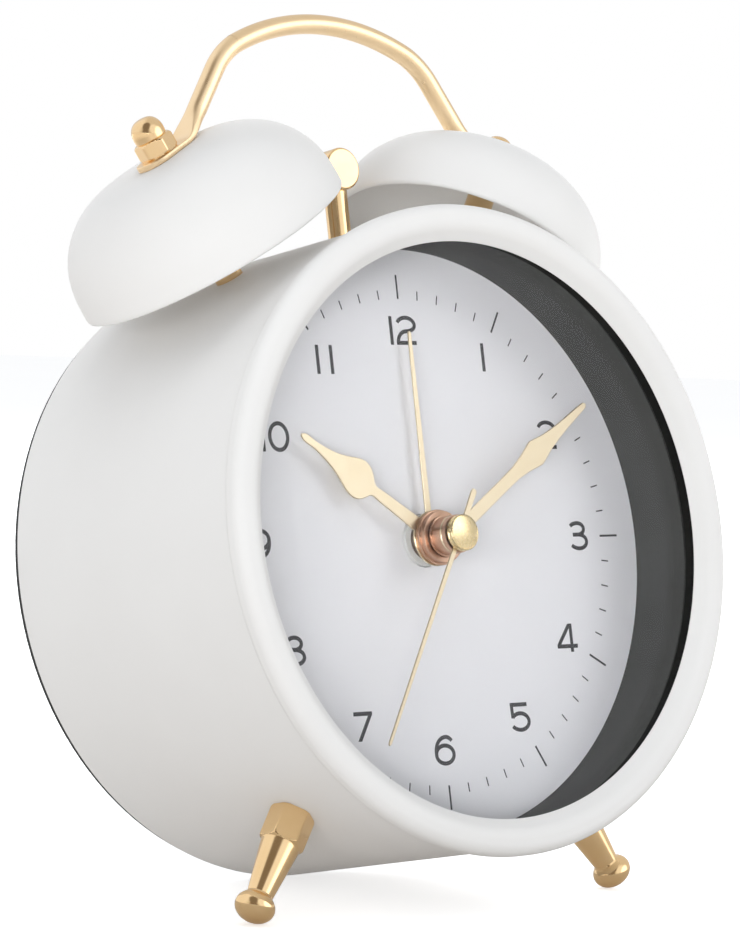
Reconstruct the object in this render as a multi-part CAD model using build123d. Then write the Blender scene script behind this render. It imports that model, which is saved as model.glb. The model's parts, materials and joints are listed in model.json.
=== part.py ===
from build123d import *
import math
import os

os.makedirs("parts", exist_ok=True)

# ---------------------------------------------------------------------------
# Driving dimensions, millimetres and degrees.
# Everything is first built in the clock's own frame: the dial axis runs along Y,
# y = 0 is the front face of the bezel, +Y goes towards the back, +Z is twelve
# o'clock. The finished clock then leans back onto its feet and rear edge.
# ---------------------------------------------------------------------------
LEAN = 12.0               # backward lean of the standing clock
AXIS_HEIGHT = 67.36       # height of the dial axis at the bezel front above the table
AXIS_BACK = -31.83        # shifts the leaning clock so its box is centred over the origin

# shell
BEZEL_R = 56.75
BEZEL_INNER_R = 50.3
BEZEL_DEPTH = 4.0
CASE_R = 55.4
CASE_WALL = 1.2
CASE_REAR_Y = 62.4
COVER_R = 54.9
COVER_T = 1.6
LIP_Y = 2.3               # underside of the bezel lip
GASKET_Y = 5.4            # rear of the gasket = front of the lens
LENS_T = 1.2
COLLAR_R = 52.0
STACK_R = 52.9            # outer radius of lens, collar and dial
DIAL_Y = 17.8
DIAL_T = 0.6
CARRIER_T = 2.0
MOVE_Y = 1.2              # everything behind the lens is drawn with the dial at DIAL_Y and set back by this

# bells
BELL_R = 25.45
BELL_H = 19.0
BELL_FLAT = 17.55
BELL_EXP = 2.45
BELL_LIP = 1.2
BELL_WALL = 1.2
BELL_TILT = 30.6
BELL_X = 29.577
BELL_Y = 32.9
BELL_Z = 54.518
POST_R = 2.55
STUD_R = 2.0

# handle
BOW_R = 1.78
BOW_Y = BELL_Y - 0.5
PLATE_T = 1.1
PLATE_W = 7.2
BOW_APEX_Z = 95.76
BOW_TOP_R = 45.5
BOW_SHOULDER_R = 15.0

# feet
FOOT_ANGLE = 34.65
FOOT_Y = 24.0
FOOT_BUTTON_R = 3.55      # across the foot axis
FOOT_BUTTON_H = 2.7       # along the foot axis

# hammer
HAMMER_Y = 32.5
HAMMER_PIVOT_Z = 40.0
HAMMER_HEAD_Z = 68.8
HAMMER_HEAD_R = 3.85
HAMMER_HEAD_Y0, HAMMER_HEAD_Y1 = 29.5, 36.3
STEM_R = 2.1
STRIKER_Y = 32.0

# hands, angles clockwise from twelve
HOUR_ANGLE = -56.6
MINUTE_ANGLE = 56.6
SECOND_ANGLE = -149.4
ALARM_ANGLE = 0.0

# movement
MOV_X = 27.0
MOV_Z0, MOV_Z1 = -36.0, 18.0
MOV_Y0, MOV_Y1 = 20.4, 36.4
MOV_WALL = 1.5
BRIDGE_Y0, BRIDGE_Y1 = 27.4, 28.4
LID_Y1 = 38.0
MOTION_X, MOTION_Z = -12 * math.cos(math.radians(30)), -12 * math.sin(math.radians(30))
TIME_X, TIME_Z = MOTION_X - 12 * math.cos(math.radians(30)), MOTION_Z + 12 * math.sin(math.radians(30))
ALARM_X, ALARM_Z = 16.0, 0.0
FIFTH_X, FIFTH_Z = 0.0, -12.25
ROTOR_X, ROTOR_Z = 0.0, -21.25
KNOB_R = 6.5
KNOB_Y0, KNOB_Y1 = 64.5, 70.5

# battery bay
CELL_R = 7.15
CELL_L = 50.0
CELL_Y = 52.0
CELL_Z = (-20.8, -35.8)
BAY_X = 29.0
BAY_Z0, BAY_Z1 = -44.2, -12.3
DOOR_X = 26.7
DOOR_Z0, DOOR_Z1 = -42.7, -13.8
DOOR_PIVOT_Y, DOOR_PIVOT_Z = 63.25, -41.95

# alarm switch
SWITCH_Z = 24.0
SWITCH_TRAVEL = 5.0


# ---------------------------------------------------------------------------
# Helpers
# ---------------------------------------------------------------------------
def cyl(r, y0, y1, x=0.0, z=0.0):
    """Cylinder along Y."""
    return Pos(x, (y0 + y1) / 2, z) * Rot(90, 0, 0) * Cylinder(r, y1 - y0)


def cylx(r, x0, x1, y, z):
    """Cylinder along X."""
    return Pos((x0 + x1) / 2, y, z) * Rot(0, 90, 0) * Cylinder(r, x1 - x0)


def tube(ro, ri, y0, y1, x=0.0, z=0.0):
    return cyl(ro, y0, y1, x, z) - cyl(ri, y0 - 1, y1 + 1, x, z)


def block(x0, x1, y0, y1, z0, z1):
    return Pos((x0 + x1) / 2, (y0 + y1) / 2, (z0 + z1) / 2) * Box(x1 - x0, y1 - y0, z1 - z0)


def lathe_y(points):
    """Solid of revolution about Y from a closed (radius, y) polygon."""
    return revolve(make_face(Polyline(*points, close=True)), Axis.Y)


def lathe_z(points):
    """Solid of revolution about Z from a closed (radius, height) polygon."""
    return Rot(90, 0, 0) * lathe_y(points)


def round_rims(part, rims):
    """Fillet circular edges about Y, each given as (radius, y, fillet)."""
    for r, y, f in rims:
        picked = [e for e in part.edges().filter_by(GeomType.CIRCLE)
                  if abs(e.radius - r) < 1e-3 and abs(e.arc_center.Y - y) < 1e-3]
        part = fillet(picked, f)
    return part


def spoke(side, angle, y, x=0.0, z=0.0):
    """Plane whose Z points outwards at an angle from twelve (side 1 right, -1 left)."""
    a = math.radians(angle) * side
    return Plane(origin=(x, y, z), x_dir=(0, 1, 0), z_dir=(math.sin(a), 0, math.cos(a)))


def hand_plane(angle, y):
    """Plane facing the front whose Y points along a hand."""
    a = math.radians(angle)
    return Plane(origin=(0, y, 0), x_dir=(math.cos(a), 0, -math.sin(a)), z_dir=(0, -1, 0))


def gear(n, m, y0, y1, x, z, phase, hole=0.0):
    """Toothed wheel about Y; phase is the angle of one tooth, from +X towards +Z."""
    rp = n * m / 2
    rt, rr = rp + 0.75 * m, rp - 1.1 * m
    step = 2 * math.pi / n
    pts = []
    for i in range(n):
        a = math.radians(phase) + i * step
        for r, k in ((rr, -0.27), (rt, -0.10), (rt, 0.10), (rr, 0.27)):
            pts.append((r * math.cos(a + k * step), r * math.sin(a + k * step)))
    face = make_face(Polyline(*pts, close=True))
    pl = Plane(origin=(x, y1, z), x_dir=(1, 0, 0), z_dir=(0, -1, 0))
    body = pl * extrude(face, y1 - y0)
    if hole:
        body -= cyl(hole, y0 - 1, y1 + 1, x, z)
    return body


def angle_to(x0, z0, x1, z1):
    return math.degrees(math.atan2(z1 - z0, x1 - x0))


def mate_phase(phase_a, n_a, theta, n_b):
    """Phase of wheel b so that its gap faces a tooth of wheel a; theta points from a to b."""
    step = 360.0 / n_a
    d = (theta - phase_a) % step
    return theta + 180.0 + d * n_a / n_b + 180.0 / n_b


def place(shape):
    return Pos(0, AXIS_BACK, AXIS_HEIGHT) * Rot(-LEAN, 0, 0) * shape


nodes = {}


FIXED_DEPTH = {
    "bezel_ring", "lens_gasket", "lens", "case_shell", "left_bell", "right_bell", "left_bell_post", "right_bell_post",
    "cap_nuts", "post_nuts", "handle", "left_foot", "right_foot", "foot_nuts", "hammer_bracket", "hammer_pivot_pin",
    "hammer_hub", "hammer_stem", "hammer_head", "striker_coil", "striker_core",
}


def keep(name, *shapes):
    back = 0.0 if name in FIXED_DEPTH else MOVE_Y
    nodes[name] = [place(Pos(0, back, 0) * s) for s in shapes]


# ---------------------------------------------------------------------------
# Bezel, lens, collar, dial
# ---------------------------------------------------------------------------
SPIGOT_R = CASE_R - CASE_WALL - 0.1
bezel = lathe_y([
    (BEZEL_INNER_R, 0), (BEZEL_R, 0), (BEZEL_R, BEZEL_DEPTH), (SPIGOT_R, BEZEL_DEPTH), (SPIGOT_R, 9.0),
    (STACK_R + 0.2, 9.0), (STACK_R + 0.2, LIP_Y), (BEZEL_INNER_R, LIP_Y),
])
bezel = round_rims(bezel, [(BEZEL_R, 0, 2.0), (BEZEL_R, BEZEL_DEPTH, 1.2), (BEZEL_INNER_R, 0, 0.6)])
keep("bezel_ring", bezel)
keep("lens_gasket", tube(STACK_R, COLLAR_R - 0.8, LIP_Y, GASKET_Y))
keep("lens", cyl(STACK_R, GASKET_Y, GASKET_Y + LENS_T))
keep("dial_collar", tube(STACK_R, COLLAR_R, GASKET_Y + LENS_T - MOVE_Y, DIAL_Y))
keep("dial_plate", tube(STACK_R, 4.7, DIAL_Y, DIAL_Y + DIAL_T))

CARRIER_Y = DIAL_Y + DIAL_T
PILLARS = [(44.0, -19.0), (-44.0, -19.0), (46.0, 14.0), (-46.0, 14.0)]
carrier = tube(CASE_R - CASE_WALL - 0.15, 4.7, CARRIER_Y, CARRIER_Y + CARRIER_T)
for px, pz in PILLARS:
    carrier += cyl(3.2, CARRIER_Y + CARRIER_T - 0.5, CASE_REAR_Y, px, pz)
for px, pz in PILLARS:
    carrier -= cyl(1.4, 50.0, CASE_REAR_Y + 1, px, pz)
MOV_SCREWS = [(30.0, -9.0), (-30.0, -9.0)]
for px, pz in MOV_SCREWS:
    carrier -= cyl(1.25, CARRIER_Y - 1, CARRIER_Y + CARRIER_T + 1, px, pz)
# notches that clear the foot nuts
for side in (1, -1):
    carrier -= spoke(side, 180 - FOOT_ANGLE, FOOT_Y - MOVE_Y) * (Pos(0, 0, 53.5) * Cylinder(4.2, 9))
keep("dial_carrier", carrier)

# ---------------------------------------------------------------------------
# Case shell and rear cover
# ---------------------------------------------------------------------------
case_in = CASE_R - CASE_WALL
case = tube(CASE_R, case_in, BEZEL_DEPTH, CASE_REAR_Y + MOVE_Y)
case = round_rims(case, [(CASE_R, CASE_REAR_Y + MOVE_Y, 0.3)])
for side in (1, -1):
    case -= spoke(side, BELL_TILT, BELL_Y, side * BELL_X, BELL_Z) * (Pos(0, 0, -8) * Cylinder(STUD_R + 0.05, 12))
    case -= spoke(side, 180 - FOOT_ANGLE, FOOT_Y) * (Pos(0, 0, 55) * Cylinder(STUD_R + 0.05, 8))
SLOT_HX, SLOT_HY = 4.4, 2.55
slot = block(-SLOT_HX, SLOT_HX, HAMMER_Y - SLOT_HY, HAMMER_Y + SLOT_HY, 48, 60)
case -= slot
keep("case_shell", case)

cover = cyl(COVER_R, CASE_REAR_Y, CASE_REAR_Y + COVER_T) + tube(case_in - 0.1, case_in - 1.1, CASE_REAR_Y - 2, CASE_REAR_Y + 0.2)
cover = round_rims(cover, [(COVER_R, CASE_REAR_Y + COVER_T, 0.6)])
cover -= cyl(1.55, 60, 66, TIME_X, TIME_Z)
cover -= cyl(1.55, 60, 66, ALARM_X, ALARM_Z)
cover -= block(-4.5, 4.5, 60, 66, SWITCH_Z - 1.5, SWITCH_Z + 1.5)
cover -= block(-DOOR_X - 0.2, DOOR_X + 0.2, 60, 66, DOOR_Z0 - 0.2, DOOR_Z1 + 0.2)
for s in (1, -1):
    cover -= cylx(0.55, s * DOOR_X - 1.2, s * DOOR_X + 1.2, DOOR_PIVOT_Y, DOOR_PIVOT_Z)
for px, pz in PILLARS:
    cover -= cyl(1.45, 60, 66, px, pz)
    cover -= Pos(px, CASE_REAR_Y + COVER_T - 0.65, pz) * Rot(-90, 0, 0) * Cone(1.45, 2.8, 1.3)
keep("rear_cover", cover)

screws = []
for px, pz in PILLARS:
    s = cyl(1.4, 52.0, CASE_REAR_Y + 0.5, px, pz)
    s += Pos(px, CASE_REAR_Y + COVER_T - 0.7, pz) * Rot(-90, 0, 0) * Cone(1.4, 2.6, 1.2)
    s -= block(px - 1.9, px + 1.9, CASE_REAR_Y + COVER_T - 0.7, 66, pz - 0.3, pz + 0.3)
    s -= block(px - 0.3, px + 0.3, CASE_REAR_Y + COVER_T - 0.7, 66, pz - 1.9, pz + 1.9)
    screws.append(s)
keep("cover_screws", *screws)

# ---------------------------------------------------------------------------
# Bells, posts, nuts
# ---------------------------------------------------------------------------
def dome_height(r, radius, height, flat):
    se = height * (1 - (r / radius) ** BELL_EXP) ** (1 / BELL_EXP) if r < radius else 0.0
    k = 0.6
    return -k * math.log(math.exp(-se / k) + math.exp(-flat / k))


def dome_curve(radius, height, flat, r_flat):
    rs = [r_flat + 3, r_flat + 6, 15.5, 18.5, 21.0, 23.0]
    pts = [(r_flat, flat)]
    for r in rs:
        r = r * radius / BELL_R if r > r_flat + 6 else r
        pts.append((r, min(flat - 0.01 * (r - r_flat), dome_height(r, radius, height, flat + 0.09))))
    for s in (0.52, 0.36, 0.2, 0.08):
        h = height * s
        pts.append((radius * (1 - s ** BELL_EXP) ** (1 / BELL_EXP), h))
    pts.append((radius, 0.0))
    return Spline(*pts, tangents=((1, 0), (0, -1)))


def bell():
    ri, hi, fi = BELL_R - BELL_WALL, BELL_H - BELL_WALL, BELL_FLAT - BELL_WALL
    outer = dome_curve(BELL_R, BELL_H, BELL_FLAT, 6.0)
    inner = dome_curve(ri, hi, fi, 5.5)
    hole = STUD_R + 0.05
    edges = [
        Line((hole, BELL_FLAT), (6.0, BELL_FLAT)), outer, Line((BELL_R, 0), (BELL_R, -BELL_LIP + 0.4)),
        RadiusArc((BELL_R, -BELL_LIP + 0.4), (BELL_R - 0.4, -BELL_LIP), 0.4),
        Line((BELL_R - 0.4, -BELL_LIP), (ri + 0.4, -BELL_LIP)),
        RadiusArc((ri + 0.4, -BELL_LIP), (ri, -BELL_LIP + 0.4), 0.4),
        Line((ri, -BELL_LIP + 0.4), (ri, 0)), inner, Line((5.5, fi), (hole, fi)), Line((hole, fi), (hole, BELL_FLAT)),
    ]
    face = make_face(edges)
    return Rot(90, 0, 0) * revolve(face, Axis.Y)


def hexagon(across_flats, z0, z1):
    return Pos(0, 0, z0) * extrude(RegularPolygon(across_flats / 2, 6, major_radius=False), z1 - z0)


PLATE_Z = BELL_FLAT
NUT_Z = BELL_FLAT + PLATE_T
POST_FOOT = -6.48         # along the bell axis, where the post meets the case
cap_nuts, post_nuts = [], []
for side, label in ((-1, "left"), (1, "right")):
    pl = spoke(side, BELL_TILT, BELL_Y, side * BELL_X, BELL_Z)
    keep(label + "_bell", pl * bell())
    post = lathe_z([
        (0, -12.5), (STUD_R - 0.3, -12.5), (STUD_R, -12.2), (STUD_R, POST_FOOT), (POST_R, POST_FOOT),
        (POST_R, BELL_FLAT - BELL_WALL), (STUD_R, BELL_FLAT - BELL_WALL), (STUD_R, NUT_Z + 3.6), (0, NUT_Z + 3.6),
    ])
    keep(label + "_bell_post", pl * post)
    # acorn nut: chamfered hexagon, short neck, domed cap
    hexa = hexagon(6.4, 0, 3.0) & lathe_z([(0, 0), (3.45, 0), (3.72, 0.35), (3.72, 2.5), (3.3, 3.0), (0, 3.0)])
    cap = Rot(90, 0, 0) * revolve(make_face([
        Line((0, 2.9), (2.95, 2.9)), Line((2.95, 2.9), (2.95, 4.2)), Spline((2.95, 4.2), (2.45, 5.75), (1.4, 6.6), (0, 6.9), tangents=((0, 1), (-1, 0))),
        Line((0, 6.9), (0, 2.9)),
    ]), Axis.Y)
    nut = hexa + cap
    nut -= Pos(0, 0, 1.8) * Cylinder(STUD_R, 3.6)
    cap_nuts.append(pl * (Pos(0, 0, NUT_Z) * nut))
    inner_nut = hexagon(6.0, -10.9, -8.35) - Pos(0, 0, -9.5) * Cylinder(STUD_R, 6)
    post_nuts.append(pl * inner_nut)
keep("cap_nuts", *cap_nuts)
keep("post_nuts", *post_nuts)

# ---------------------------------------------------------------------------
# Handle: round bow, flattened at both ends under the cap nuts
# ---------------------------------------------------------------------------
ta = math.radians(BELL_TILT)
ax_x, ax_z = math.sin(ta), math.cos(ta)          # bell axis, right side
in_x, in_z = -math.cos(ta), math.sin(ta)         # along the plate, towards the middle
plate_mid = BELL_FLAT + PLATE_T / 2
nut_x, nut_z = BELL_X + plate_mid * ax_x, BELL_Z + plate_mid * ax_z
leg = math.radians(57.0)
beta = math.radians(27.0)
top_z = (BOW_APEX_Z - BOW_TOP_R) + BOW_TOP_R / math.cos(beta)
# shoulder corner: crossing of the leg line and the top tangent
leg_x0, leg_z0 = 26.03, 85.1
sh_x = (leg_z0 + math.tan(leg) * leg_x0 - top_z) / (math.tan(leg) - math.tan(beta))
sh_z = top_z - math.tan(beta) * sh_x
# bend corner: crossing of the leg line and the plate line
u = ((nut_z - leg_z0) + math.tan(leg) * (nut_x - leg_x0)) / (-in_z - math.tan(leg) * in_x)
bend_x, bend_z = nut_x + u * in_x, nut_z + u * in_z
leg_dx, leg_dz = -math.cos(leg), math.sin(leg)
START = 6.5
p2 = (bend_x + START * leg_dx, bend_z + START * leg_dz)
path = FilletPolyline(
    (-p2[0], BOW_Y, p2[1]), (-sh_x, BOW_Y, sh_z), (0, BOW_Y, top_z), (sh_x, BOW_Y, sh_z), (p2[0], BOW_Y, p2[1]),
    radius=[BOW_SHOULDER_R, BOW_TOP_R, BOW_SHOULDER_R])
handle = sweep(Plane(origin=path @ 0, z_dir=path % 0) * Circle(BOW_R), path)
for side in (1, -1):
    def pt(x, z, y=BELL_Y):
        return (side * x, y, z)

    def direction(x, z):
        return (side * x, 0, z)
    q1 = (nut_x + (u - 0.15) * in_x, nut_z + (u - 0.15) * in_z)
    q2 = (bend_x + 2.2 * leg_dx, bend_z + 2.2 * leg_dz)
    mid = ((in_x + leg_dx), (in_z + leg_dz))
    ln = math.hypot(*mid)
    s1 = Plane(origin=pt(*q1), x_dir=(0, 1, 0), z_dir=direction(in_x, in_z)) * Ellipse(3.3, PLATE_T / 2)
    s2 = Plane(origin=pt(*q2, (BELL_Y + BOW_Y) / 2), x_dir=(0, 1, 0), z_dir=direction(mid[0] / ln, mid[1] / ln)) * Ellipse(2.7, 0.95)
    s3 = Plane(origin=pt(*p2, BOW_Y), x_dir=(0, 1, 0), z_dir=direction(leg_dx, leg_dz)) * Circle(BOW_R)
    handle += loft([s1, s2, s3])
    tip = Plane(origin=pt(nut_x, nut_z), x_dir=direction(in_x, in_z), z_dir=direction(ax_x, ax_z))
    outline = make_face([
        Line((u - 0.05, -3.3), (-1.5, -PLATE_W / 2)), ThreePointArc((-1.5, -PLATE_W / 2), (-1.5 - PLATE_W / 2, 0), (-1.5, PLATE_W / 2)),
        Line((-1.5, PLATE_W / 2), (u - 0.05, 3.3)), Line((u - 0.05, 3.3), (u - 0.05, -3.3)),
    ])
    plate = tip * (Pos(0, 0, -PLATE_T / 2) * extrude(outline, PLATE_T))
    handle += plate
    handle -= tip * Cylinder(STUD_R + 0.05, 6)
keep("handle", handle)

# ---------------------------------------------------------------------------
# Feet
# ---------------------------------------------------------------------------
foot_nuts = []
# the button stands far enough out for its lowest point to touch the table
steep = math.cos(math.radians(FOOT_ANGLE)) * math.cos(math.radians(LEAN))
reach = math.hypot(FOOT_BUTTON_H * steep, FOOT_BUTTON_R * math.sqrt(1 - steep ** 2))
FOOT_BUTTON_D = (AXIS_HEIGHT - FOOT_Y * math.sin(math.radians(LEAN)) - reach) / steep
for side, label in ((-1, "left"), (1, "right")):
    pl = spoke(side, 180 - FOOT_ANGLE, FOOT_Y)
    hexa = hexagon(7.1, CASE_R + 0.02, 61.6) & lathe_z([
        (0, CASE_R), (4.1, CASE_R), (4.1, 61.2), (3.7, 61.6), (0, 61.6)])
    taper = lathe_z([(0, 61.5), (3.55, 61.5), (3.5, 62.2), (2.25, 71.9), (0, 71.9)])
    oval = [(FOOT_BUTTON_R * math.sin(math.radians(k)), FOOT_BUTTON_H * math.cos(math.radians(k))) for k in range(0, 181, 20)]
    half = make_face([Spline(*oval, tangents=((1, 0), (-1, 0))), Line(oval[-1], oval[0])])
    ball = Pos(0, 0, FOOT_BUTTON_D) * Rot(90, 0, 0) * revolve(half, Axis.Y)
    stud = lathe_z([(0, 50.4), (STUD_R - 0.3, 50.4), (STUD_R, 50.7), (STUD_R, CASE_R + 0.1), (0, CASE_R + 0.1)])
    foot = Pos(0, 0, 0) * (hexa + taper + ball + stud)
    keep(label + "_foot", pl * foot)
    foot_nuts.append(pl * (hexagon(6.0, 51.6, case_in - 0.13) - Pos(0, 0, 53) * Cylinder(STUD_R, 8)))
keep("foot_nuts", *foot_nuts)

# ---------------------------------------------------------------------------
# Hammer and striker
# ---------------------------------------------------------------------------
PIN_R = 1.2
ring = tube(case_in, case_in - 1.8, 26.0, 39.0)
ring = ring & block(-15.0, 15.0, 20, 45, 48, 60)
bracket = ring + block(-6, 6, 26.0, 27.2, 36.0, 53.2) + block(-6, 6, 37.8, 39.0, 36.0, 53.2) + block(-6, 26, 37.8, 39.0, 21.5, 36.5)
bracket = bracket - block(-SLOT_HX, SLOT_HX, HAMMER_Y - SLOT_HY, HAMMER_Y + SLOT_HY, 48, 60)
bracket -= cyl(PIN_R, 20, 45, 0, HAMMER_PIVOT_Z)
keep("hammer_bracket", bracket)
keep("hammer_pivot_pin", cyl(PIN_R, 25.6, 39.4, 0, HAMMER_PIVOT_Z))
stem_axis = Pos(0, HAMMER_Y, 0)
stem = stem_axis * (Pos(0, 0, 54.3) * Cylinder(STEM_R, 67.0 - 41.6))
hub = cyl(3.8, 27.6, 37.4, 0, HAMMER_PIVOT_Z) + block(-1.6, 1.6, 29.0, 35.0, 24.5, 37.5)
hub -= cyl(PIN_R + 0.05, 20, 45, 0, HAMMER_PIVOT_Z)
hub -= stem_axis * (Pos(0, 0, 51.6) * Cylinder(STEM_R, 20))
keep("hammer_hub", hub)
keep("hammer_stem", stem)
head = cyl(HAMMER_HEAD_R, HAMMER_HEAD_Y0, HAMMER_HEAD_Y1, 0, HAMMER_HEAD_Z)
head = round_rims(head, [(HAMMER_HEAD_R, HAMMER_HEAD_Y0, 0.45), (HAMMER_HEAD_R, HAMMER_HEAD_Y1, 0.45)])
head -= stem_axis * (Pos(0, 0, 57.0) * Cylinder(STEM_R, 20))
keep("hammer_head", head)
coil = cylx(5.4, 7.4, 21.6, STRIKER_Y, 28.0) + cylx(5.7, 6.6, 7.5, STRIKER_Y, 28.0) + cylx(5.7, 21.5, 22.4, STRIKER_Y, 28.0)
coil -= cylx(2.0, 0, 30, STRIKER_Y, 28.0)
keep("striker_coil", coil)
keep("striker_core", cylx(2.0, 4.7, 24.1, STRIKER_Y, 28.0) + block(24.0, 25.4, 27.0, 37.8, 22.5, 33.5))

# ---------------------------------------------------------------------------
# Movement: housing, bridge, lid
# ---------------------------------------------------------------------------
W = MOV_WALL
housing = block(-MOV_X, MOV_X, MOV_Y0, MOV_Y1, MOV_Z0, MOV_Z1)
housing -= block(-MOV_X + W, MOV_X - W, MOV_Y0 + 1.6, MOV_Y1 + 1, MOV_Z0 + W, MOV_Z1 - W)
housing += cyl(4.6, 17.2, MOV_Y0 + 0.2)
for px, pz in MOV_SCREWS:
    s = 1 if px > 0 else -1
    lug = block(min(s * 26.9, s * 33), max(s * 26.9, s * 33), MOV_Y0, MOV_Y0 + 2.5, pz - 4, pz + 4)
    housing += lug
    housing -= cyl(1.3, MOV_Y0 - 1, MOV_Y0 + 4, px, pz)
housing -= cyl(3.45, 16, 24)
housing -= cyl(0.85, 20.9, 23, ALARM_X, ALARM_Z)
keep("movement_housing", housing)
mscrews = []
for px, pz in MOV_SCREWS:
    s = cyl(1.25, CARRIER_Y + 0.1, MOV_Y0 + 2.6, px, pz) + cyl(2.4, MOV_Y0 + 2.5, MOV_Y0 + 4.0, px, pz)
    s -= block(px - 2, px + 2, MOV_Y0 + 3.3, MOV_Y0 + 5, pz - 0.3, pz + 0.3)
    mscrews.append(s)
keep("movement_screws", *mscrews)
bridge = block(-MOV_X + W, MOV_X - W, BRIDGE_Y0, BRIDGE_Y1, MOV_Z0 + W, MOV_Z1 - W)
bridge -= cyl(2.65, 20, 40)
bridge -= cyl(1.55, 20, 40, ALARM_X, ALARM_Z)
for px, pz in ((TIME_X, TIME_Z), (MOTION_X, MOTION_Z), (FIFTH_X, FIFTH_Z), (ROTOR_X, ROTOR_Z)):
    bridge -= cyl(0.55, 20, 40, px, pz)
keep("movement_bridge", bridge)
lid = block(-MOV_X, MOV_X, MOV_Y1, LID_Y1, MOV_Z0, MOV_Z1)
lid -= cyl(1.55, 30, 40, ALARM_X, ALARM_Z)
lid -= cyl(1.55, 30, 40, TIME_X, TIME_Z)
lid -= cyl(0.8, 30, 37.3)
for px, pz in ((MOTION_X, MOTION_Z), (FIFTH_X, FIFTH_Z), (ROTOR_X, ROTOR_Z)):
    lid -= cyl(0.55, 30, 37.3, px, pz)
keep("movement_lid", lid)

# ---------------------------------------------------------------------------
# Wheels. Teeth of each pair are set tooth to gap.
# ---------------------------------------------------------------------------
th_cm = angle_to(0, 0, MOTION_X, MOTION_Z)
ph_motion = th_cm + 180.0                                   # a tooth points at the centre
ph_cannon = mate_phase(ph_motion, 36, th_cm + 180.0, 12)
ph_time = mate_phase(ph_motion, 36, angle_to(MOTION_X, MOTION_Z, TIME_X, TIME_Z), 12)
ph_mpin = th_cm + 180.0
ph_hour = mate_phase(ph_mpin, 10, th_cm + 180.0, 40)
ph_alarm = angle_to(0, 0, ALARM_X, ALARM_Z)
ph_aknob = mate_phase(ph_alarm, 48, ph_alarm, 16)
th_sf = angle_to(0, 0, FIFTH_X, FIFTH_Z)
ph_second = th_sf
ph_fpin = mate_phase(ph_second, 60, th_sf, 10)
th_fr = angle_to(FIFTH_X, FIFTH_Z, ROTOR_X, ROTOR_Z)
ph_fifth = th_fr
ph_rotor = mate_phase(ph_fifth, 60, th_fr, 12)

keep("alarm_wheel", gear(48, 0.5, 25.6, 26.8, 0, 0, ph_alarm, 3.0) + tube(3.4, 2.65, 15.6, 26.8) + tube(4.6, 3.0, 24.6, 25.8))
keep("hour_wheel", gear(40, 0.48, 29.0, 30.4, 0, 0, ph_hour, 2.2) + tube(2.6, 1.65, 12.5, 30.4))
keep("cannon_pinion", gear(12, 0.5, 31.6, 33.2, 0, 0, ph_cannon, 0.8) + tube(1.6, 0.8, 9.4, 31.8))
keep("second_wheel", gear(60, 0.35, 34.4, 35.2, 0, 0, ph_second) + cyl(0.75, 7.45, 37.0) + cyl(1.8, 35.1, 35.9))
keep("motion_wheel", gear(36, 0.5, 31.8, 33.0, MOTION_X, MOTION_Z, ph_motion) + gear(10, 0.48, 28.7, 31.9, MOTION_X, MOTION_Z, ph_mpin)
     + cyl(1.2, 32.9, 36.1, MOTION_X, MOTION_Z) + cyl(0.5, 27.6, 37.1, MOTION_X, MOTION_Z))
keep("fifth_wheel", gear(60, 0.25, 33.5, 34.1, FIFTH_X, FIFTH_Z, ph_fifth) + gear(10, 0.35, 34.0, 35.5, FIFTH_X, FIFTH_Z, ph_fpin)
     + cyl(0.8, 28.7, 33.6, FIFTH_X, FIFTH_Z) + cyl(0.5, 27.6, 37.1, FIFTH_X, FIFTH_Z))
keep("stepper_rotor", cyl(3.0, 29.6, 32.6, ROTOR_X, ROTOR_Z) + gear(12, 0.25, 32.5, 34.4, ROTOR_X, ROTOR_Z, ph_rotor)
     + cyl(0.5, 27.6, 37.1, ROTOR_X, ROTOR_Z))
stator = block(-16, 16, 30.4, 31.6, -25.2, -16.6) + block(-16, -11, 30.4, 31.6, -31.0, -25.0) + block(11, 16, 30.4, 31.6, -31.0, -25.0)
stator -= cyl(3.5, 28, 34, ROTOR_X, ROTOR_Z)
stator += block(-15.5, 15.5, 31.5, 32.8, -30.2, -27.8)
keep("stepper_stator", stator)
scoil = cylx(3.3, -10.2, 10.2, 32.2, -29.0) + cylx(3.6, -10.9, -10.0, 32.2, -29.0) + cylx(3.6, 10.0, 10.9, 32.2, -29.0)
scoil -= block(-12, 12, 31.5, 32.8, -30.2, -27.8)
keep("stepper_coil", scoil)
board = block(17.2, 25.3, BRIDGE_Y1, BRIDGE_Y1 + 1.2, -33.5, -8.0) + block(19, 24, BRIDGE_Y1 + 1.1, BRIDGE_Y1 + 2.4, -22, -16) \
    + cylx(1.1, 18.0, 24.0, BRIDGE_Y1 + 2.0, -27.0)
keep("circuit_board", board)

# ---------------------------------------------------------------------------
# Hands
# ---------------------------------------------------------------------------
def blade(outline, disc, hole, angle, y0, t, tail=None, smooth=True):
    """Hand cut from sheet: half-widths along its length, a round eye and a bore."""
    right = [(w, r) for r, w in outline]
    left = [(-w, r) for r, w in reversed(outline)]
    if smooth:
        e = [Spline(*right), Line(right[-1], left[0]), Spline(*left), Line(left[-1], right[0])]
        sk = make_face(e)
    else:
        sk = make_face(Polyline(*(right + left), close=True))
    solid = extrude(sk, t) + extrude(Circle(disc), t)
    if tail:
        solid += extrude(make_face(Polyline(*([(w, -r) for r, w in tail] + [(-w, -r) for r, w in reversed(tail)]), close=True)), t)
    solid -= Pos(0, 0, t / 2) * Cylinder(hole, 4 * t)
    return hand_plane(angle, y0 + t) * solid


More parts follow.
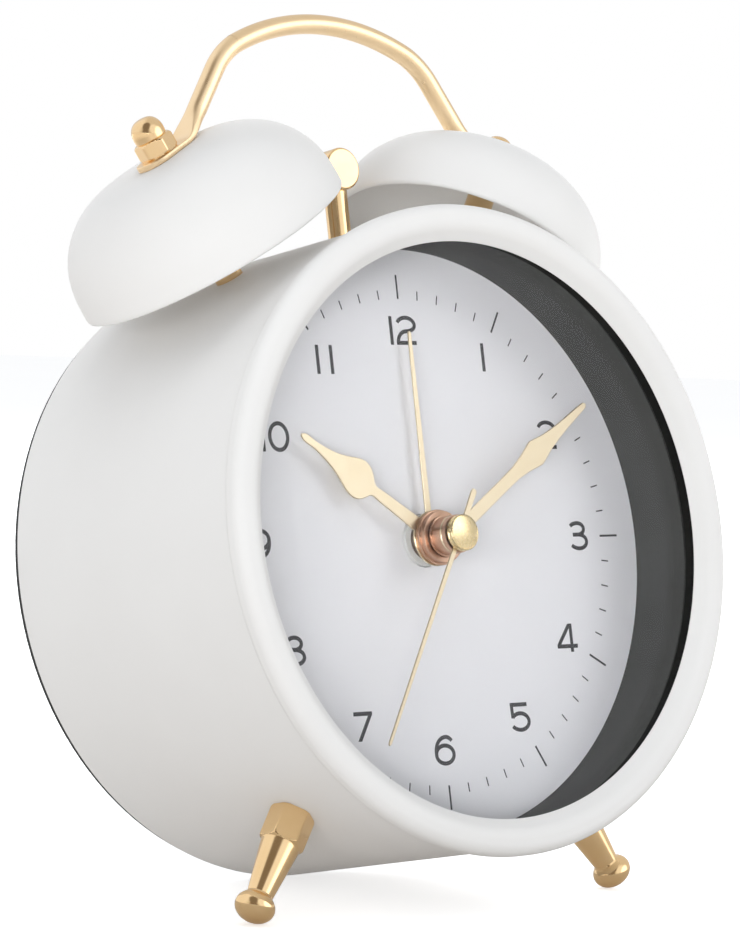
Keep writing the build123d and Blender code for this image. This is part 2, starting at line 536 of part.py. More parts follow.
HOUR_OUT = [(0.5, 1.35), (6.0, 1.28), (11.0, 1.12), (14.3, 1.0), (15.7, 1.06), (16.6, 1.95), (17.7, 3.05), (19.2, 3.6),
            (20.9, 3.3), (22.8, 2.45), (25.4, 1.45), (28.1, 0.9), (31.0, 0.66), (33.2, 0.5), (33.7, 0.18)]
MINUTE_OUT = [(0.5, 1.2), (8.0, 1.18), (15.0, 1.16), (19.2, 1.22), (22.3, 1.65), (25.75, 2.48), (29.0, 1.65), (32.0, 1.22),
              (35.2, 0.9), (38.8, 0.72), (41.3, 0.55), (41.8, 0.2)]
keep("alarm_hand", blade([(0.5, 0.7), (12.0, 0.58), (25.0, 0.46), (36.6, 0.34), (37.0, 0.15)], 3.9, 3.4, ALARM_ANGLE, 15.6, 0.3, smooth=False))
keep("hour_hand", blade(HOUR_OUT, 4.9, 2.6, HOUR_ANGLE, 14.5, 0.3))
keep("hour_hand_bush", tube(4.6, 2.6, 12.3, 14.5) + tube(4.9, 2.6, 13.3, 13.55))
keep("minute_hand", blade(MINUTE_OUT, 3.4, 2.2, MINUTE_ANGLE, 9.3, 0.3, smooth=False))
keep("minute_hand_bush", tube(3.65, 1.6, 11.8, 12.05) + tube(3.35, 1.6, 9.6, 12.0) + tube(2.2, 1.6, 9.2, 9.7) + tube(3.35, 0.95, 8.35, 9.3))
keep("second_hand", blade([(0.5, 0.52), (15.0, 0.44), (30.0, 0.36), (41.4, 0.3), (41.8, 0.12)], 2.2, 0.75, SECOND_ANGLE, 7.95, 0.25,
                          tail=[(0.5, 0.52), (8.4, 0.6), (8.9, 0.35)], smooth=False))
capf = revolve(make_face([
    Line((0, 7.95), (3.2, 7.95)), Line((3.2, 7.95), (3.2, 6.85)), Spline((3.2, 6.85), (3.06, 6.68), (1.6, 6.49), (0, 6.42), tangents=((0, -1), (-1, 0))),
    Line((0, 6.42), (0, 7.95)),
]), Axis.Y)
capf -= cyl(0.75, 7.45, 9.0)
keep("second_hand_cap", capf)

# ---------------------------------------------------------------------------
# Setting knobs, alarm switch
# ---------------------------------------------------------------------------
def knob(x, z):
    k = cyl(KNOB_R, KNOB_Y0, KNOB_Y1, x, z)
    rims = [e for e in k.edges().filter_by(GeomType.CIRCLE)]
    k = fillet(rims, 0.7)
    for i in range(18):
        a = 2 * math.pi * i / 18
        k -= cyl(0.55, KNOB_Y0 - 1, KNOB_Y1 + 1, x + (KNOB_R + 0.2) * math.cos(a), z + (KNOB_R + 0.2) * math.sin(a))
    return k


keep("time_knob", knob(TIME_X, TIME_Z) + cyl(1.5, 33.0, KNOB_Y0 + 0.2, TIME_X, TIME_Z)
     + gear(12, 0.5, 31.7, 33.1, TIME_X, TIME_Z, ph_time) + cyl(0.5, 27.6, 31.8, TIME_X, TIME_Z))
keep("alarm_knob", knob(ALARM_X, ALARM_Z) + cyl(1.5, 26.9, KNOB_Y0 + 0.2, ALARM_X, ALARM_Z)
     + gear(16, 0.5, 25.5, 27.0, ALARM_X, ALARM_Z, ph_aknob) + cyl(0.8, 21.1, 25.6, ALARM_X, ALARM_Z))

sw = block(-8.0, 8.0, 57.0, CASE_REAR_Y, SWITCH_Z - 4.2, SWITCH_Z + 4.2)
sw -= block(-6.6, 6.6, 59.6, CASE_REAR_Y + 1, SWITCH_Z - 2.8, SWITCH_Z + 2.8)
keep("switch_housing", sw)
SX = -SWITCH_TRAVEL / 2
slider = block(SX - 3.0, SX + 3.0, 60.4, 62.1, SWITCH_Z - 2.4, SWITCH_Z + 2.4) + block(SX - 1.7, SX + 1.7, 62.0, 64.4, SWITCH_Z - 1.3, SWITCH_Z + 1.3)
thumb = block(SX - 2.9, SX + 2.9, 64.3, 66.2, SWITCH_Z - 2.6, SWITCH_Z + 2.6)
for i in (-1, 0, 1):
    thumb -= block(SX + 1.5 * i - 0.25, SX + 1.5 * i + 0.25, 65.8, 67, SWITCH_Z - 3, SWITCH_Z + 3)
keep("switch_slider", slider + thumb)

# ---------------------------------------------------------------------------
# Battery bay
# ---------------------------------------------------------------------------
bay = block(-BAY_X, BAY_X, 43.0, CASE_REAR_Y, BAY_Z0, BAY_Z1)
bay -= block(-BAY_X + 1.2, BAY_X - 1.2, 44.6, CASE_REAR_Y + 1, BAY_Z0 + 1.1, BAY_Z1 - 1.1)
keep("battery_holder", bay)
cells, contacts = [], []
HALF = CELL_L / 2
for cz, s in zip(CELL_Z, (1, -1)):
    c = cylx(CELL_R, min(-s * HALF, s * (HALF - 1.4)), max(-s * HALF, s * (HALF - 1.4)), CELL_Y, cz)
    c += cylx(2.7, min(s * (HALF - 1.5), s * HALF), max(s * (HALF - 1.5), s * HALF), CELL_Y, cz)
    cells.append(c)
keep("battery_cells", *cells)
for s in (1, -1):
    x0, x1 = sorted((s * (BAY_X - 1.2), s * (BAY_X - 1.7)))
    plate = block(x0, x1, 46.0, 58.0, CELL_Z[1] - 5.0, CELL_Z[0] + 5.0)
    for cz in CELL_Z:
        a, b = sorted((s * HALF, s * (BAY_X - 1.65)))
        plate += cylx(2.0, a, b, CELL_Y, cz)
    contacts.append(plate)
keep("battery_contacts", *contacts)
door = block(-DOOR_X, DOOR_X, 62.5, 64.0, DOOR_Z0, DOOR_Z1)
low = [e for e in door.edges().filter_by(Axis.X) if e.center().Z < DOOR_Z0 + 0.1]
door = fillet(low, 0.74)
for s in (1, -1):
    door += cylx(0.5, min(s * (DOOR_X - 1), s * (DOOR_X + 0.9)), max(s * (DOOR_X - 1), s * (DOOR_X + 0.9)), DOOR_PIVOT_Y, DOOR_PIVOT_Z)
door -= block(-6, 6, 63.4, 65, DOOR_Z1 - 3.2, DOOR_Z1 - 1.6)
door -= block(-6, 6, 63.4, 65, DOOR_Z1 - 6.2, DOOR_Z1 - 4.6)
keep("battery_door", door)

# ---------------------------------------------------------------------------
# Write every piece
# ---------------------------------------------------------------------------
for name, shapes in nodes.items():
    solids = [s for shape in shapes for s in shape.solids()]
    for s in solids:
        s.label = name
    if len(solids) == 1:
        out = solids[0]
    else:
        out = Compound(label=name, children=solids)
    out.label = name
    export_step(out, "parts/" + name + ".step")
print(len(nodes), "nodes")
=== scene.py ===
import bpy
import bmesh
import json
import math
import numpy as np
from mathutils import Matrix, Vector, geometry


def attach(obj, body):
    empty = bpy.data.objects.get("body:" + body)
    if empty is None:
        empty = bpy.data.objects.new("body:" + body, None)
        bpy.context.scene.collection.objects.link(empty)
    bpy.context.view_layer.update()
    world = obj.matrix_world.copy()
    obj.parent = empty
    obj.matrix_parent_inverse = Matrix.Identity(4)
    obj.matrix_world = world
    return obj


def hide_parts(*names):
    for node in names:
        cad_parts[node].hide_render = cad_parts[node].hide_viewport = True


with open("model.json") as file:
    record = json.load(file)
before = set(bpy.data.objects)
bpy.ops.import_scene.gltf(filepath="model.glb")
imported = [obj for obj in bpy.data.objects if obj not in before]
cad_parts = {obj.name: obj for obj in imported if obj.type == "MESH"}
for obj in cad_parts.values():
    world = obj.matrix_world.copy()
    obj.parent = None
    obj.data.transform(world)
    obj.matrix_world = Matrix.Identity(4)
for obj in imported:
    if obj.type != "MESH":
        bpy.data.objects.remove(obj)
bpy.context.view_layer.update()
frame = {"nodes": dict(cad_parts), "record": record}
nodes = frame["nodes"]
scene = bpy.context.scene

# ---------------------------------------------------------------------------
# The clock's own frame, millimetres: dial axis along y (y = 0 at the bezel
# front, rearwards positive), z towards twelve o'clock, x to the right. The
# standing clock leans back by LEAN.
# ---------------------------------------------------------------------------
LEAN = math.radians(12.0)
CL, SL = math.cos(LEAN), math.sin(LEAN)
AXIS_BACK, AXIS_HEIGHT = -31.83, 67.36


def row(P):
    """Clock-frame millimetres to row-frame metres."""
    P = np.asarray(P, float).reshape(-1, 3)
    out = np.empty_like(P)
    out[:, 0] = P[:, 0]
    out[:, 1] = P[:, 1] * CL + P[:, 2] * SL + AXIS_BACK
    out[:, 2] = -P[:, 1] * SL + P[:, 2] * CL + AXIS_HEIGHT
    return out * 0.001


def row_dir(v):
    return Vector((v[0], v[1] * CL + v[2] * SL, -v[1] * SL + v[2] * CL))


# ---------------------------------------------------------------------------
# Materials
# ---------------------------------------------------------------------------
def new_mat(name):
    m = bpy.data.materials.new(name)
    m.use_nodes = True
    nt = m.node_tree
    nt.nodes.clear()
    out = nt.nodes.new("ShaderNodeOutputMaterial")
    bsdf = nt.nodes.new("ShaderNodeBsdfPrincipled")
    nt.links.new(bsdf.outputs["BSDF"], out.inputs["Surface"])
    tc = nt.nodes.new("ShaderNodeTexCoord")
    return m, nt, bsdf, tc


def noise(nt, tc, scale, detail=2.0, rough=0.5, stretch=None):
    vec = tc.outputs["Object"]
    if stretch is not None:
        mp = nt.nodes.new("ShaderNodeMapping")
        mp.inputs["Scale"].default_value = stretch
        nt.links.new(vec, mp.inputs["Vector"])
        vec = mp.outputs["Vector"]
    n = nt.nodes.new("ShaderNodeTexNoise")
    n.inputs["Scale"].default_value = scale
    n.inputs["Detail"].default_value = detail
    n.inputs["Roughness"].default_value = rough
    nt.links.new(vec, n.inputs["Vector"])
    return n.outputs["Fac"]


def ramp(nt, fac, stops):
    r = nt.nodes.new("ShaderNodeValToRGB")
    r.color_ramp.interpolation = "EASE"
    while len(r.color_ramp.elements) > len(stops):
        r.color_ramp.elements.remove(r.color_ramp.elements[-1])
    while len(r.color_ramp.elements) < len(stops):
        r.color_ramp.elements.new(0.5)
    for e, (p, c) in zip(r.color_ramp.elements, stops):
        e.position = p
        e.color = (*c, 1.0)
    nt.links.new(fac, r.inputs["Fac"])
    return r.outputs["Color"]


def remap(nt, fac, lo, hi, a=0.3, b=0.7):
    m = nt.nodes.new("ShaderNodeMapRange")
    m.inputs["From Min"].default_value = a
    m.inputs["From Max"].default_value = b
    m.inputs["To Min"].default_value = lo
    m.inputs["To Max"].default_value = hi
    nt.links.new(fac, m.inputs["Value"])
    return m.outputs["Result"]


def bump(nt, bsdf, height, distance, strength=1.0, chain=None):
    b = nt.nodes.new("ShaderNodeBump")
    b.inputs["Strength"].default_value = strength
    b.inputs["Distance"].default_value = distance
    nt.links.new(height, b.inputs["Height"])
    if chain is not None:
        nt.links.new(chain, b.inputs["Normal"])
    nt.links.new(b.outputs["Normal"], bsdf.inputs["Normal"])
    return b.outputs["Normal"]


def paint(name, light, dark, rough, peel=0.06, scale=1700.0):
    """Powder coat: faint tone drift, uneven sheen, fine orange peel."""
    m, nt, b, tc = new_mat(name)
    big = noise(nt, tc, 38.0, 3.0)
    nt.links.new(ramp(nt, big, [(0.3, dark), (0.7, light)]), b.inputs["Base Color"])
    fine = noise(nt, tc, scale, 3.0, 0.55)
    nt.links.new(remap(nt, fine, rough - 0.05, rough + 0.06), b.inputs["Roughness"])
    b.inputs["Specular IOR Level"].default_value = 0.42
    bump(nt, b, fine, 0.00002, peel)
    return m


def metal(name, light, dark, rough, spread=0.05, line=None, strength=0.05, tone=220.0):
    """Plated metal: slight tone drift, uneven polish, hair lines along one direction."""
    m, nt, b, tc = new_mat(name)
    b.inputs["Metallic"].default_value = 1.0
    big = noise(nt, tc, tone, 2.0)
    nt.links.new(ramp(nt, big, [(0.3, dark), (0.7, light)]), b.inputs["Base Color"])
    fine = noise(nt, tc, 900.0, 4.0, 0.6, stretch=line)
    nt.links.new(remap(nt, fine, rough - spread, rough + spread), b.inputs["Roughness"])
    bump(nt, b, fine, 0.00001, strength)
    return m


def plastic(name, light, dark, rough, grain=1400.0, depth=0.00003, strength=0.35, spec=0.4):
    m, nt, b, tc = new_mat(name)
    big = noise(nt, tc, 60.0, 3.0)
    nt.links.new(ramp(nt, big, [(0.3, dark), (0.7, light)]), b.inputs["Base Color"])
    fine = noise(nt, tc, grain, 2.0, 0.5)
    nt.links.new(remap(nt, fine, rough - 0.06, rough + 0.08), b.inputs["Roughness"])
    b.inputs["Specular IOR Level"].default_value = spec
    bump(nt, b, fine, depth, strength)
    return m


M_WHITE = paint("white_powder_coat", (0.855, 0.842, 0.822), (0.839, 0.825, 0.804), 0.52)
M_GOLD = metal("gold_plate", (0.930, 0.670, 0.375), (0.905, 0.640, 0.345), 0.13, 0.035, strength=0.05)
# handle gold: the satin roughness is its own finish; its base colour, lighter than the other gold plate, is painted
# light
M_BOW_PAINTED_LIGHTER = metal("gold_plate_satin_painted_lighter", (0.965, 0.735, 0.460), (0.945, 0.710, 0.430), 0.31, 0.040, strength=0.05)
M_FOOT = metal("gold_plate_turned", (0.925, 0.660, 0.360), (0.900, 0.630, 0.330), 0.12, 0.040, strength=0.08)
M_HAND = metal("champagne_gold", (0.795, 0.675, 0.475), (0.780, 0.655, 0.452), 0.34, 0.05, strength=0.10, tone=400.0)
M_COPPER = metal("copper_bush", (0.680, 0.440, 0.310), (0.610, 0.380, 0.262), 0.36, 0.05, strength=0.10, tone=600.0)
M_CAP = metal("yellow_gold_cap", (0.930, 0.750, 0.430), (0.905, 0.715, 0.390), 0.27, 0.03, strength=0.04)
M_STEEL = metal("zinc_steel", (0.62, 0.62, 0.63), (0.52, 0.52, 0.54), 0.30, 0.08, strength=0.15)
M_COIL = metal("copper_winding", (0.62, 0.29, 0.15), (0.50, 0.20, 0.09), 0.32, 0.06, line=(12.0, 0.4, 0.4), strength=0.8)
M_BLACK = plastic("black_textured", (0.022, 0.022, 0.023), (0.015, 0.015, 0.016), 0.52)
M_RUBBER = plastic("gasket_rubber", (0.012, 0.0115, 0.010), (0.008, 0.0078, 0.007), 0.70, grain=900.0, spec=0.15)
M_COLLAR = plastic("collar_grey", (0.064, 0.064, 0.061), (0.056, 0.056, 0.053), 0.60, grain=1100.0, strength=0.2, spec=0.25)
M_MOULD = plastic("moulded_white", (0.74, 0.74, 0.72), (0.69, 0.69, 0.67), 0.45, strength=0.15)
M_ACETAL = plastic("acetal", (0.83, 0.81, 0.75), (0.78, 0.76, 0.69), 0.40, strength=0.12)
# dark brown acetal is painted shade: it darkens the alarm wheel's tube behind the hand discs, where only shadow falls
M_WHEEL_PAINTED_SHADE = plastic("acetal_painted_shade", (0.135, 0.095, 0.070), (0.110, 0.078, 0.056), 0.48, strength=0.12)
M_BOARD = plastic("solder_resist", (0.035, 0.20, 0.09), (0.022, 0.14, 0.06), 0.34, strength=0.2)
M_CELL = plastic("cell_jacket", (0.11, 0.12, 0.14), (0.08, 0.09, 0.11), 0.24, strength=0.05, spec=0.5)
M_DIAL = paint("dial_ground", (0.832, 0.822, 0.835), (0.818, 0.808, 0.822), 0.62, peel=0.03, scale=2600.0)
M_PRINT = plastic("dial_ink", (0.078, 0.076, 0.078), (0.066, 0.064, 0.067), 0.55, grain=2600.0, strength=0.1, spec=0.25)


def glass():
    m, nt, b, tc = new_mat("lens_clear")
    b.inputs["Base Color"].default_value = (1.0, 1.0, 1.0, 1.0)
    b.inputs["Transmission Weight"].default_value = 1.0
    b.inputs["IOR"].default_value = 1.12
    smear = noise(nt, tc, 26.0, 3.0)
    nt.links.new(remap(nt, smear, 0.0, 0.018), b.inputs["Roughness"])
    return m


M_GLASS = glass()

SLOT_MAT = {
    "white_paint": M_WHITE, "gold_plate": M_GOLD, "black_rubber": M_RUBBER, "clear_lens": M_GLASS,
    "dark_plastic": M_COLLAR, "dial_paint": M_DIAL, "moulded_white": M_MOULD, "black_plastic": M_BLACK,
    "bare_steel": M_STEEL, "copper_wire": M_COIL, "acetal": M_ACETAL, "board_green": M_BOARD,
    "hand_gold": M_HAND, "bush_copper": M_COPPER, "cap_gold": M_CAP, "cell_jacket": M_CELL,
}
NODE_SLOT = {s["node"]: s["material_slot"] for s in frame["record"]["subparts"]}
for name, ob in nodes.items():
    me = ob.data
    me.materials.clear()
    # the alarm wheel takes the painted-shade dark acetal instead of its slot's white acetal
    me.materials.append(M_WHEEL_PAINTED_SHADE if name == "alarm_wheel" else SLOT_MAT[NODE_SLOT[name]])
    me.polygons.foreach_set("material_index", [0] * len(me.polygons))
    me.polygons.foreach_set("use_smooth", [True] * len(me.polygons))
    me.set_sharp_from_angle(angle=math.radians(28.0))


# ---------------------------------------------------------------------------
# Mesh helpers
# ---------------------------------------------------------------------------
def solid(name, P, F, mat, body="case", replaces=(), slot=None, angle=32.0):
    me = bpy.data.meshes.new(name)
    me.from_pydata(row(P).tolist(), [], [list(f) for f in F])
    bm = bmesh.new()
    bm.from_mesh(me)
    bmesh.ops.remove_doubles(bm, verts=bm.verts, dist=2e-7)
    bmesh.ops.recalc_face_normals(bm, faces=bm.faces)
    bm.to_mesh(me)
    bm.free()
    return piece(name, me, mat, body, replaces, slot, angle)


def piece(name, me, mat, body="case", replaces=(), slot=None, angle=32.0):
    me.polygons.foreach_set("use_smooth", [True] * len(me.polygons))
    me.set_sharp_from_angle(angle=math.radians(angle))
    me.materials.clear()
    me.materials.append(mat)
    ob = bpy.data.objects.new(name, me)
    scene.collection.objects.link(ob)
    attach(ob, body)
    if replaces:
        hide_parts(*replaces)
    return ob


def join(parts):
    """Several (points, faces) lists as one."""
    P, F, k = [], [], 0
    for p, f in parts:
        p = np.asarray(p, float)
        P.append(p)
        F += [[i + k for i in q] for q in f]
        k += len(p)
    return np.vstack(P), F


AXIS_Y = (np.zeros(3), np.array([0.0, 0, 1]), np.array([1.0, 0, 0]), np.array([0.0, 1, 0]))


def at_y(x=0.0, y=0.0, z=0.0):
    return (np.array([x, y, z], float),) + AXIS_Y[1:]


def spoke(side, degrees, y, x=0.0, z=0.0):
    """Frame whose axis points outwards at an angle from twelve (side 1 right, -1 left)."""
    a = math.radians(degrees) * side
    axis = np.array([math.sin(a), 0.0, math.cos(a)])
    e1 = np.array([0.0, 1.0, 0.0])
    return (np.array([x, y, z], float), e1, np.cross(axis, e1), axis)


def held(stations, closed=True, d=0.04):
    """Profile with an extra point close to each end of a long straight run that meets a much shorter one."""
    m = len(stations)
    runs = m if closed else m - 1

    def span(i):
        (r0, h0), (r1, h1) = stations[i % m], stations[(i + 1) % m]
        return 0.0 if callable(r0) or callable(r1) else math.hypot(r1 - r0, h1 - h0)
    size = [span(i) for i in range(runs)]
    out = []
    for i in range(runs):
        out.append(stations[i])
        L = size[i]
        if L < 0.25:
            continue
        (r0, h0), (r1, h1) = stations[i], stations[(i + 1) % m]
        for end, k in ((0, i - 1), (1, i + 1)):
            if not closed and not 0 <= k < runs:
                continue
            near = size[k % runs]
            if r0 + (r1 - r0) * end < 1e-6 or near <= 0.0 or L < 3.5 * near:
                continue
            q = d / L if end == 0 else 1 - d / L
            out.append((r0 + (r1 - r0) * q, h0 + (h1 - h0) * q))
    if not closed:
        out.append(stations[-1])
    return out


def spin(stations, fr, n=192, closed=True, phase=0.0):
    """Turned shape: stations are (radius, height); a radius may be a function of the angle."""
    o, e1, e2, ax = fr
    stations = held(stations, closed)
    th = np.arange(n) * 2 * math.pi / n + phase
    dirs = np.outer(np.cos(th), e1) + np.outer(np.sin(th), e2)
    P, start, size = [], [], []
    count = 0
    for r, h in stations:
        base = o + h * ax
        if callable(r):
            pts = base + dirs * r(th)[:, None]
        elif r < 1e-6:
            pts = base[None, :]
        else:
            pts = base + dirs * r
        P.append(pts)
        start.append(count)
        size.append(len(pts))
        count += len(pts)
    F = []
    m = len(stations)
    for j in range(m if closed else m - 1):
        a, b = j, (j + 1) % m
        if size[a] == 1 and size[b] == 1:
            continue
        for i in range(n):
            i2 = (i + 1) % n
            if size[a] == 1:
                F.append((start[a], start[b] + i, start[b] + i2))
            elif size[b] == 1:
                F.append((start[a] + i, start[b], start[a] + i2))
            else:
                F.append((start[a] + i, start[b] + i, start[b] + i2, start[a] + i2))
    return np.vstack(P), F


def rounded(pts, radii, seg=7, closed=True, share=0.49):
    """Polygon with its corners rounded."""
    out = []
    n = len(pts)
    for i, (p, r) in enumerate(zip(pts, radii)):
        p = np.array(p, float)
        if r <= 0 or (not closed and i in (0, n - 1)):
            out.append(tuple(p))
            continue
        a, b = np.array(pts[i - 1], float) - p, np.array(pts[(i + 1) % n], float) - p
        la, lb = np.linalg.norm(a), np.linalg.norm(b)
        a, b = a / la, b / lb
        half = math.acos(max(-1.0, min(1.0, float(a @ b)))) / 2
        t = min(r / math.tan(half), share * la, share * lb)
        r = t * math.tan(half)
        c = p + (a + b) / np.linalg.norm(a + b) * (r / math.sin(half))
        v0, v1 = p + a * t - c, p + b * t - c
        a0 = math.atan2(v0[1], v0[0])
        d = math.atan2(v1[1], v1[0]) - a0
        d = (d + math.pi) % (2 * math.pi) - math.pi
        for k in range(seg + 1):
            q = a0 + d * k / seg
            out.append((c[0] + r * math.cos(q), c[1] + r * math.sin(q)))
    return out


def hex_radius(flats, power=42.0, turn=0.0):
    """Radius of a hexagon with slightly broken corners, as a function of the angle."""
    def f(th):
        s = sum(np.maximum(np.cos(th - turn - k * math.pi / 3), 0.0) ** power for k in range(6))
        return flats / 2 * s ** (-1.0 / power)
    return f


def cut_by(fun, limit):
    """The smaller of a radius function and a turned radius."""
    return lambda th: np.minimum(fun(th), limit)


def boolean(target, cutters):
    """Cuts temporary solids out of a mesh object and returns the new mesh."""
    for c in cutters:
        md = target.modifiers.new("cut", "BOOLEAN")
        md.operation = "DIFFERENCE"
        md.solver = "EXACT"
        md.object = c
    dg = bpy.context.evaluated_depsgraph_get()
    me = bpy.data.meshes.new_from_object(target.evaluated_get(dg))
    for o in [target] + cutters:
        old = o.data
        bpy.data.objects.remove(o)
        bpy.data.meshes.remove(old)
    return me


def scratch(name, P, F):
    me = bpy.data.meshes.new(name)
    me.from_pydata(row(P).tolist(), [], [list(f) for f in F])
    bm = bmesh.new()
    bm.from_mesh(me)
    bmesh.ops.remove_doubles(bm, verts=bm.verts, dist=2e-7)
    bmesh.ops.recalc_face_normals(bm, faces=bm.faces)
    bm.to_mesh(me)
    bm.free()
    ob = bpy.data.objects.new(name, me)
    scene.collection.objects.link(ob)
    return ob


def inside_loops(loops, pts):
    """Even-odd test of points against closed loops."""
    pts = np.asarray(pts, float)
    hit = np.zeros(len(pts), bool)
    for L in loops:
        L = np.asarray(L, float)
        x0, y0 = L[:, 0], L[:, 1]
        x1, y1 = np.roll(x0, -1), np.roll(y0, -1)
        for k in range(len(L)):
            if y0[k] == y1[k]:
                continue
            c = (pts[:, 1] > min(y0[k], y1[k])) & (pts[:, 1] <= max(y0[k], y1[k]))
            xx = x0[k] + (pts[:, 1] - y0[k]) * (x1[k] - x0[k]) / (y1[k] - y0[k])
            hit ^= c & (pts[:, 0] < xx)
    return hit


def fill(loops):
    """Triangles filling closed loops (holes left open), over the loops' points in order."""
    V, E, k = [], [], 0
    for L in loops:
        n = len(L)
        V += [Vector((float(x), float(y))) for x, y in L]
        E += [(k + i, k + (i + 1) % n) for i in range(n)]
        k += n
    v, _, f, _, _, _ = geometry.delaunay_2d_cdt(V, E, [], 0, 1e-7)
    pts = np.array([(p.x, p.y) for p in v])
    tri = [t for t in f if len(t) == 3]
    keep = inside_loops(loops, [pts[list(t)].mean(0) for t in tri])
    return pts, [tuple(t) for t, q in zip(tri, keep) if q]


def area2(L):
    L = np.asarray(L, float)
    x, y = L[:, 0], L[:, 1]
    return float(np.sum(x * np.roll(y, -1) - np.roll(x, -1) * y))


def inset(L, d, outer):
    """Loop moved into the material by d."""
    L = np.asarray(L, float)
    e = np.roll(L, -1, 0) - L
    e /= np.maximum(np.linalg.norm(e, axis=1), 1e-12)[:, None]
    nrm = np.stack([-e[:, 1], e[:, 0]], 1) * (1.0 if area2(L) > 0 else -1.0) * (1.0 if outer else -1.0)
    m = nrm + np.roll(nrm, 1, 0)
    m /= np.maximum(np.linalg.norm(m, axis=1), 1e-9)[:, None]
    s = np.clip(np.sum(m * nrm, axis=1), 0.45, 1.0)
    return L + m * (d / s)[:, None]


def stamped(loops, front, back, bevel, to3d):
    """Sheet piece between two depths with a small chamfer on its front edges. The first loop is the outer one."""
    ins = [inset(L, bevel, i == 0) for i, L in enumerate(loops)]
    parts = []
    pf, tf = fill(ins)
    parts.append((to3d(pf, front), tf))
    pb, tb = fill(loops)
    parts.append((to3d(pb, back), tb))
    for L, I in zip(loops, ins):
        n = len(L)
        L = np.asarray(L, float)
        ring = np.vstack([to3d(np.asarray(I), front), to3d(L, front + bevel), to3d(L, back)])
        F = []
        for i in range(n):
            j = (i + 1) % n
            F.append((i, j, n + j, n + i))
            F.append((n + i, n + j, 2 * n + j, 2 * n + i))
        parts.append((ring, F))
    return join(parts)


def cubic(points, n):
    """Natural cubic spline through points, by chord length."""
    p = np.asarray(points, float)
    t = np.concatenate([[0], np.cumsum(np.linalg.norm(np.diff(p, axis=0), axis=1))])
    h = np.diff(t)
    m = len(p)
    A = np.zeros((m, m))
    B = np.zeros((m, 2))
    A[0, 0] = A[-1, -1] = 1.0
    for i in range(1, m - 1):
        A[i, i - 1], A[i, i], A[i, i + 1] = h[i - 1], 2 * (h[i - 1] + h[i]), h[i]
        B[i] = 6 * ((p[i + 1] - p[i]) / h[i] - (p[i] - p[i - 1]) / h[i - 1])
    s = np.linalg.solve(A, B)
    q = np.linspace(0, t[-1], n)
    k = np.clip(np.searchsorted(t, q, side="right") - 1, 0, m - 2)
    u, w = (q - t[k])[:, None], (t[k + 1] - q)[:, None]
    hk = h[k][:, None]
    return (s[k] * w ** 3 + s[k + 1] * u ** 3) / (6 * hk) + (p[k] / hk - s[k] * hk / 6) * w + (p[k + 1] / hk - s[k + 1] * hk / 6) * u


# ---------------------------------------------------------------------------
# Bezel, gasket, lens, collar, dial
# ---------------------------------------------------------------------------
BEZEL_R, BEZEL_IN, CASE_R, CASE_IN = 56.75, 50.3, 55.4, 54.2
STACK_R, COLLAR_R, DIAL_Y, REAR_Y = 52.9, 52.0, 19.0, 63.6
prof = rounded(
    [(BEZEL_IN, 2.05), (52.7, 0), (BEZEL_R, 0), (BEZEL_R, 4.0), (54.1, 4.0), (54.1, 9.0), (53.1, 9.0), (53.1, 2.3), (BEZEL_IN, 2.3)],
    [0.12, 3.2, 2.0, 1.2, 0.0, 0.3, 0.3, 0.0, 0.1], seg=10)
solid("bezel_white", *spin(prof, AXIS_Y, 384), M_WHITE, "case", ["bezel_ring"], "white_paint", 40)

prof = rounded([(51.2, 2.3), (52.9, 2.3), (52.9, 5.4), (51.2, 5.4)], [0.3, 0.1, 0.1, 0.3], seg=5)
solid("gasket_band", *spin(prof, AXIS_Y, 320), M_RUBBER, "case", ["lens_gasket"], "black_rubber")

prof = rounded([(0, 5.4), (STACK_R, 5.4), (STACK_R, 6.6), (0, 6.6)], [0, 0.2, 0.2, 0], seg=4)
lens = solid("lens_disc", *spin(prof, AXIS_Y, 256), M_GLASS, "case", ["lens"], "clear_lens")
lens.visible_shadow = False

prof = rounded([(COLLAR_R, 6.6), (STACK_R, 6.6), (STACK_R, DIAL_Y), (COLLAR_R, DIAL_Y)], [0.15, 0.1, 0.1, 0.0], seg=4)
solid("collar_wall", *spin(prof, AXIS_Y, 320), M_COLLAR, "case", ["dial_collar"], "dark_plastic")

prof = rounded([(4.7, DIAL_Y), (STACK_R, DIAL_Y), (STACK_R, DIAL_Y + 0.6), (4.7, DIAL_Y + 0.6)], [0.12, 0.1, 0.1, 0.1], seg=4)
solid("dial_face", *spin(prof, AXIS_Y, 256), M_DIAL, "case", ["dial_plate"], "dial_paint")

# ---------------------------------------------------------------------------
# Dial print: strokes turned into closed outlines, then thin raised solids
# ---------------------------------------------------------------------------
STROKE = 0.36


def ell(cx, cz, rx, rz, a0, a1, n=40):
    a = np.radians(np.linspace(a0, a1, n))
    return np.stack([cx + rx * np.cos(a), cz + rz * np.sin(a)], 1)


def line(*p):
    return np.asarray(p, float)


def path(*parts):
    return np.vstack(parts)


BIG = 99.0
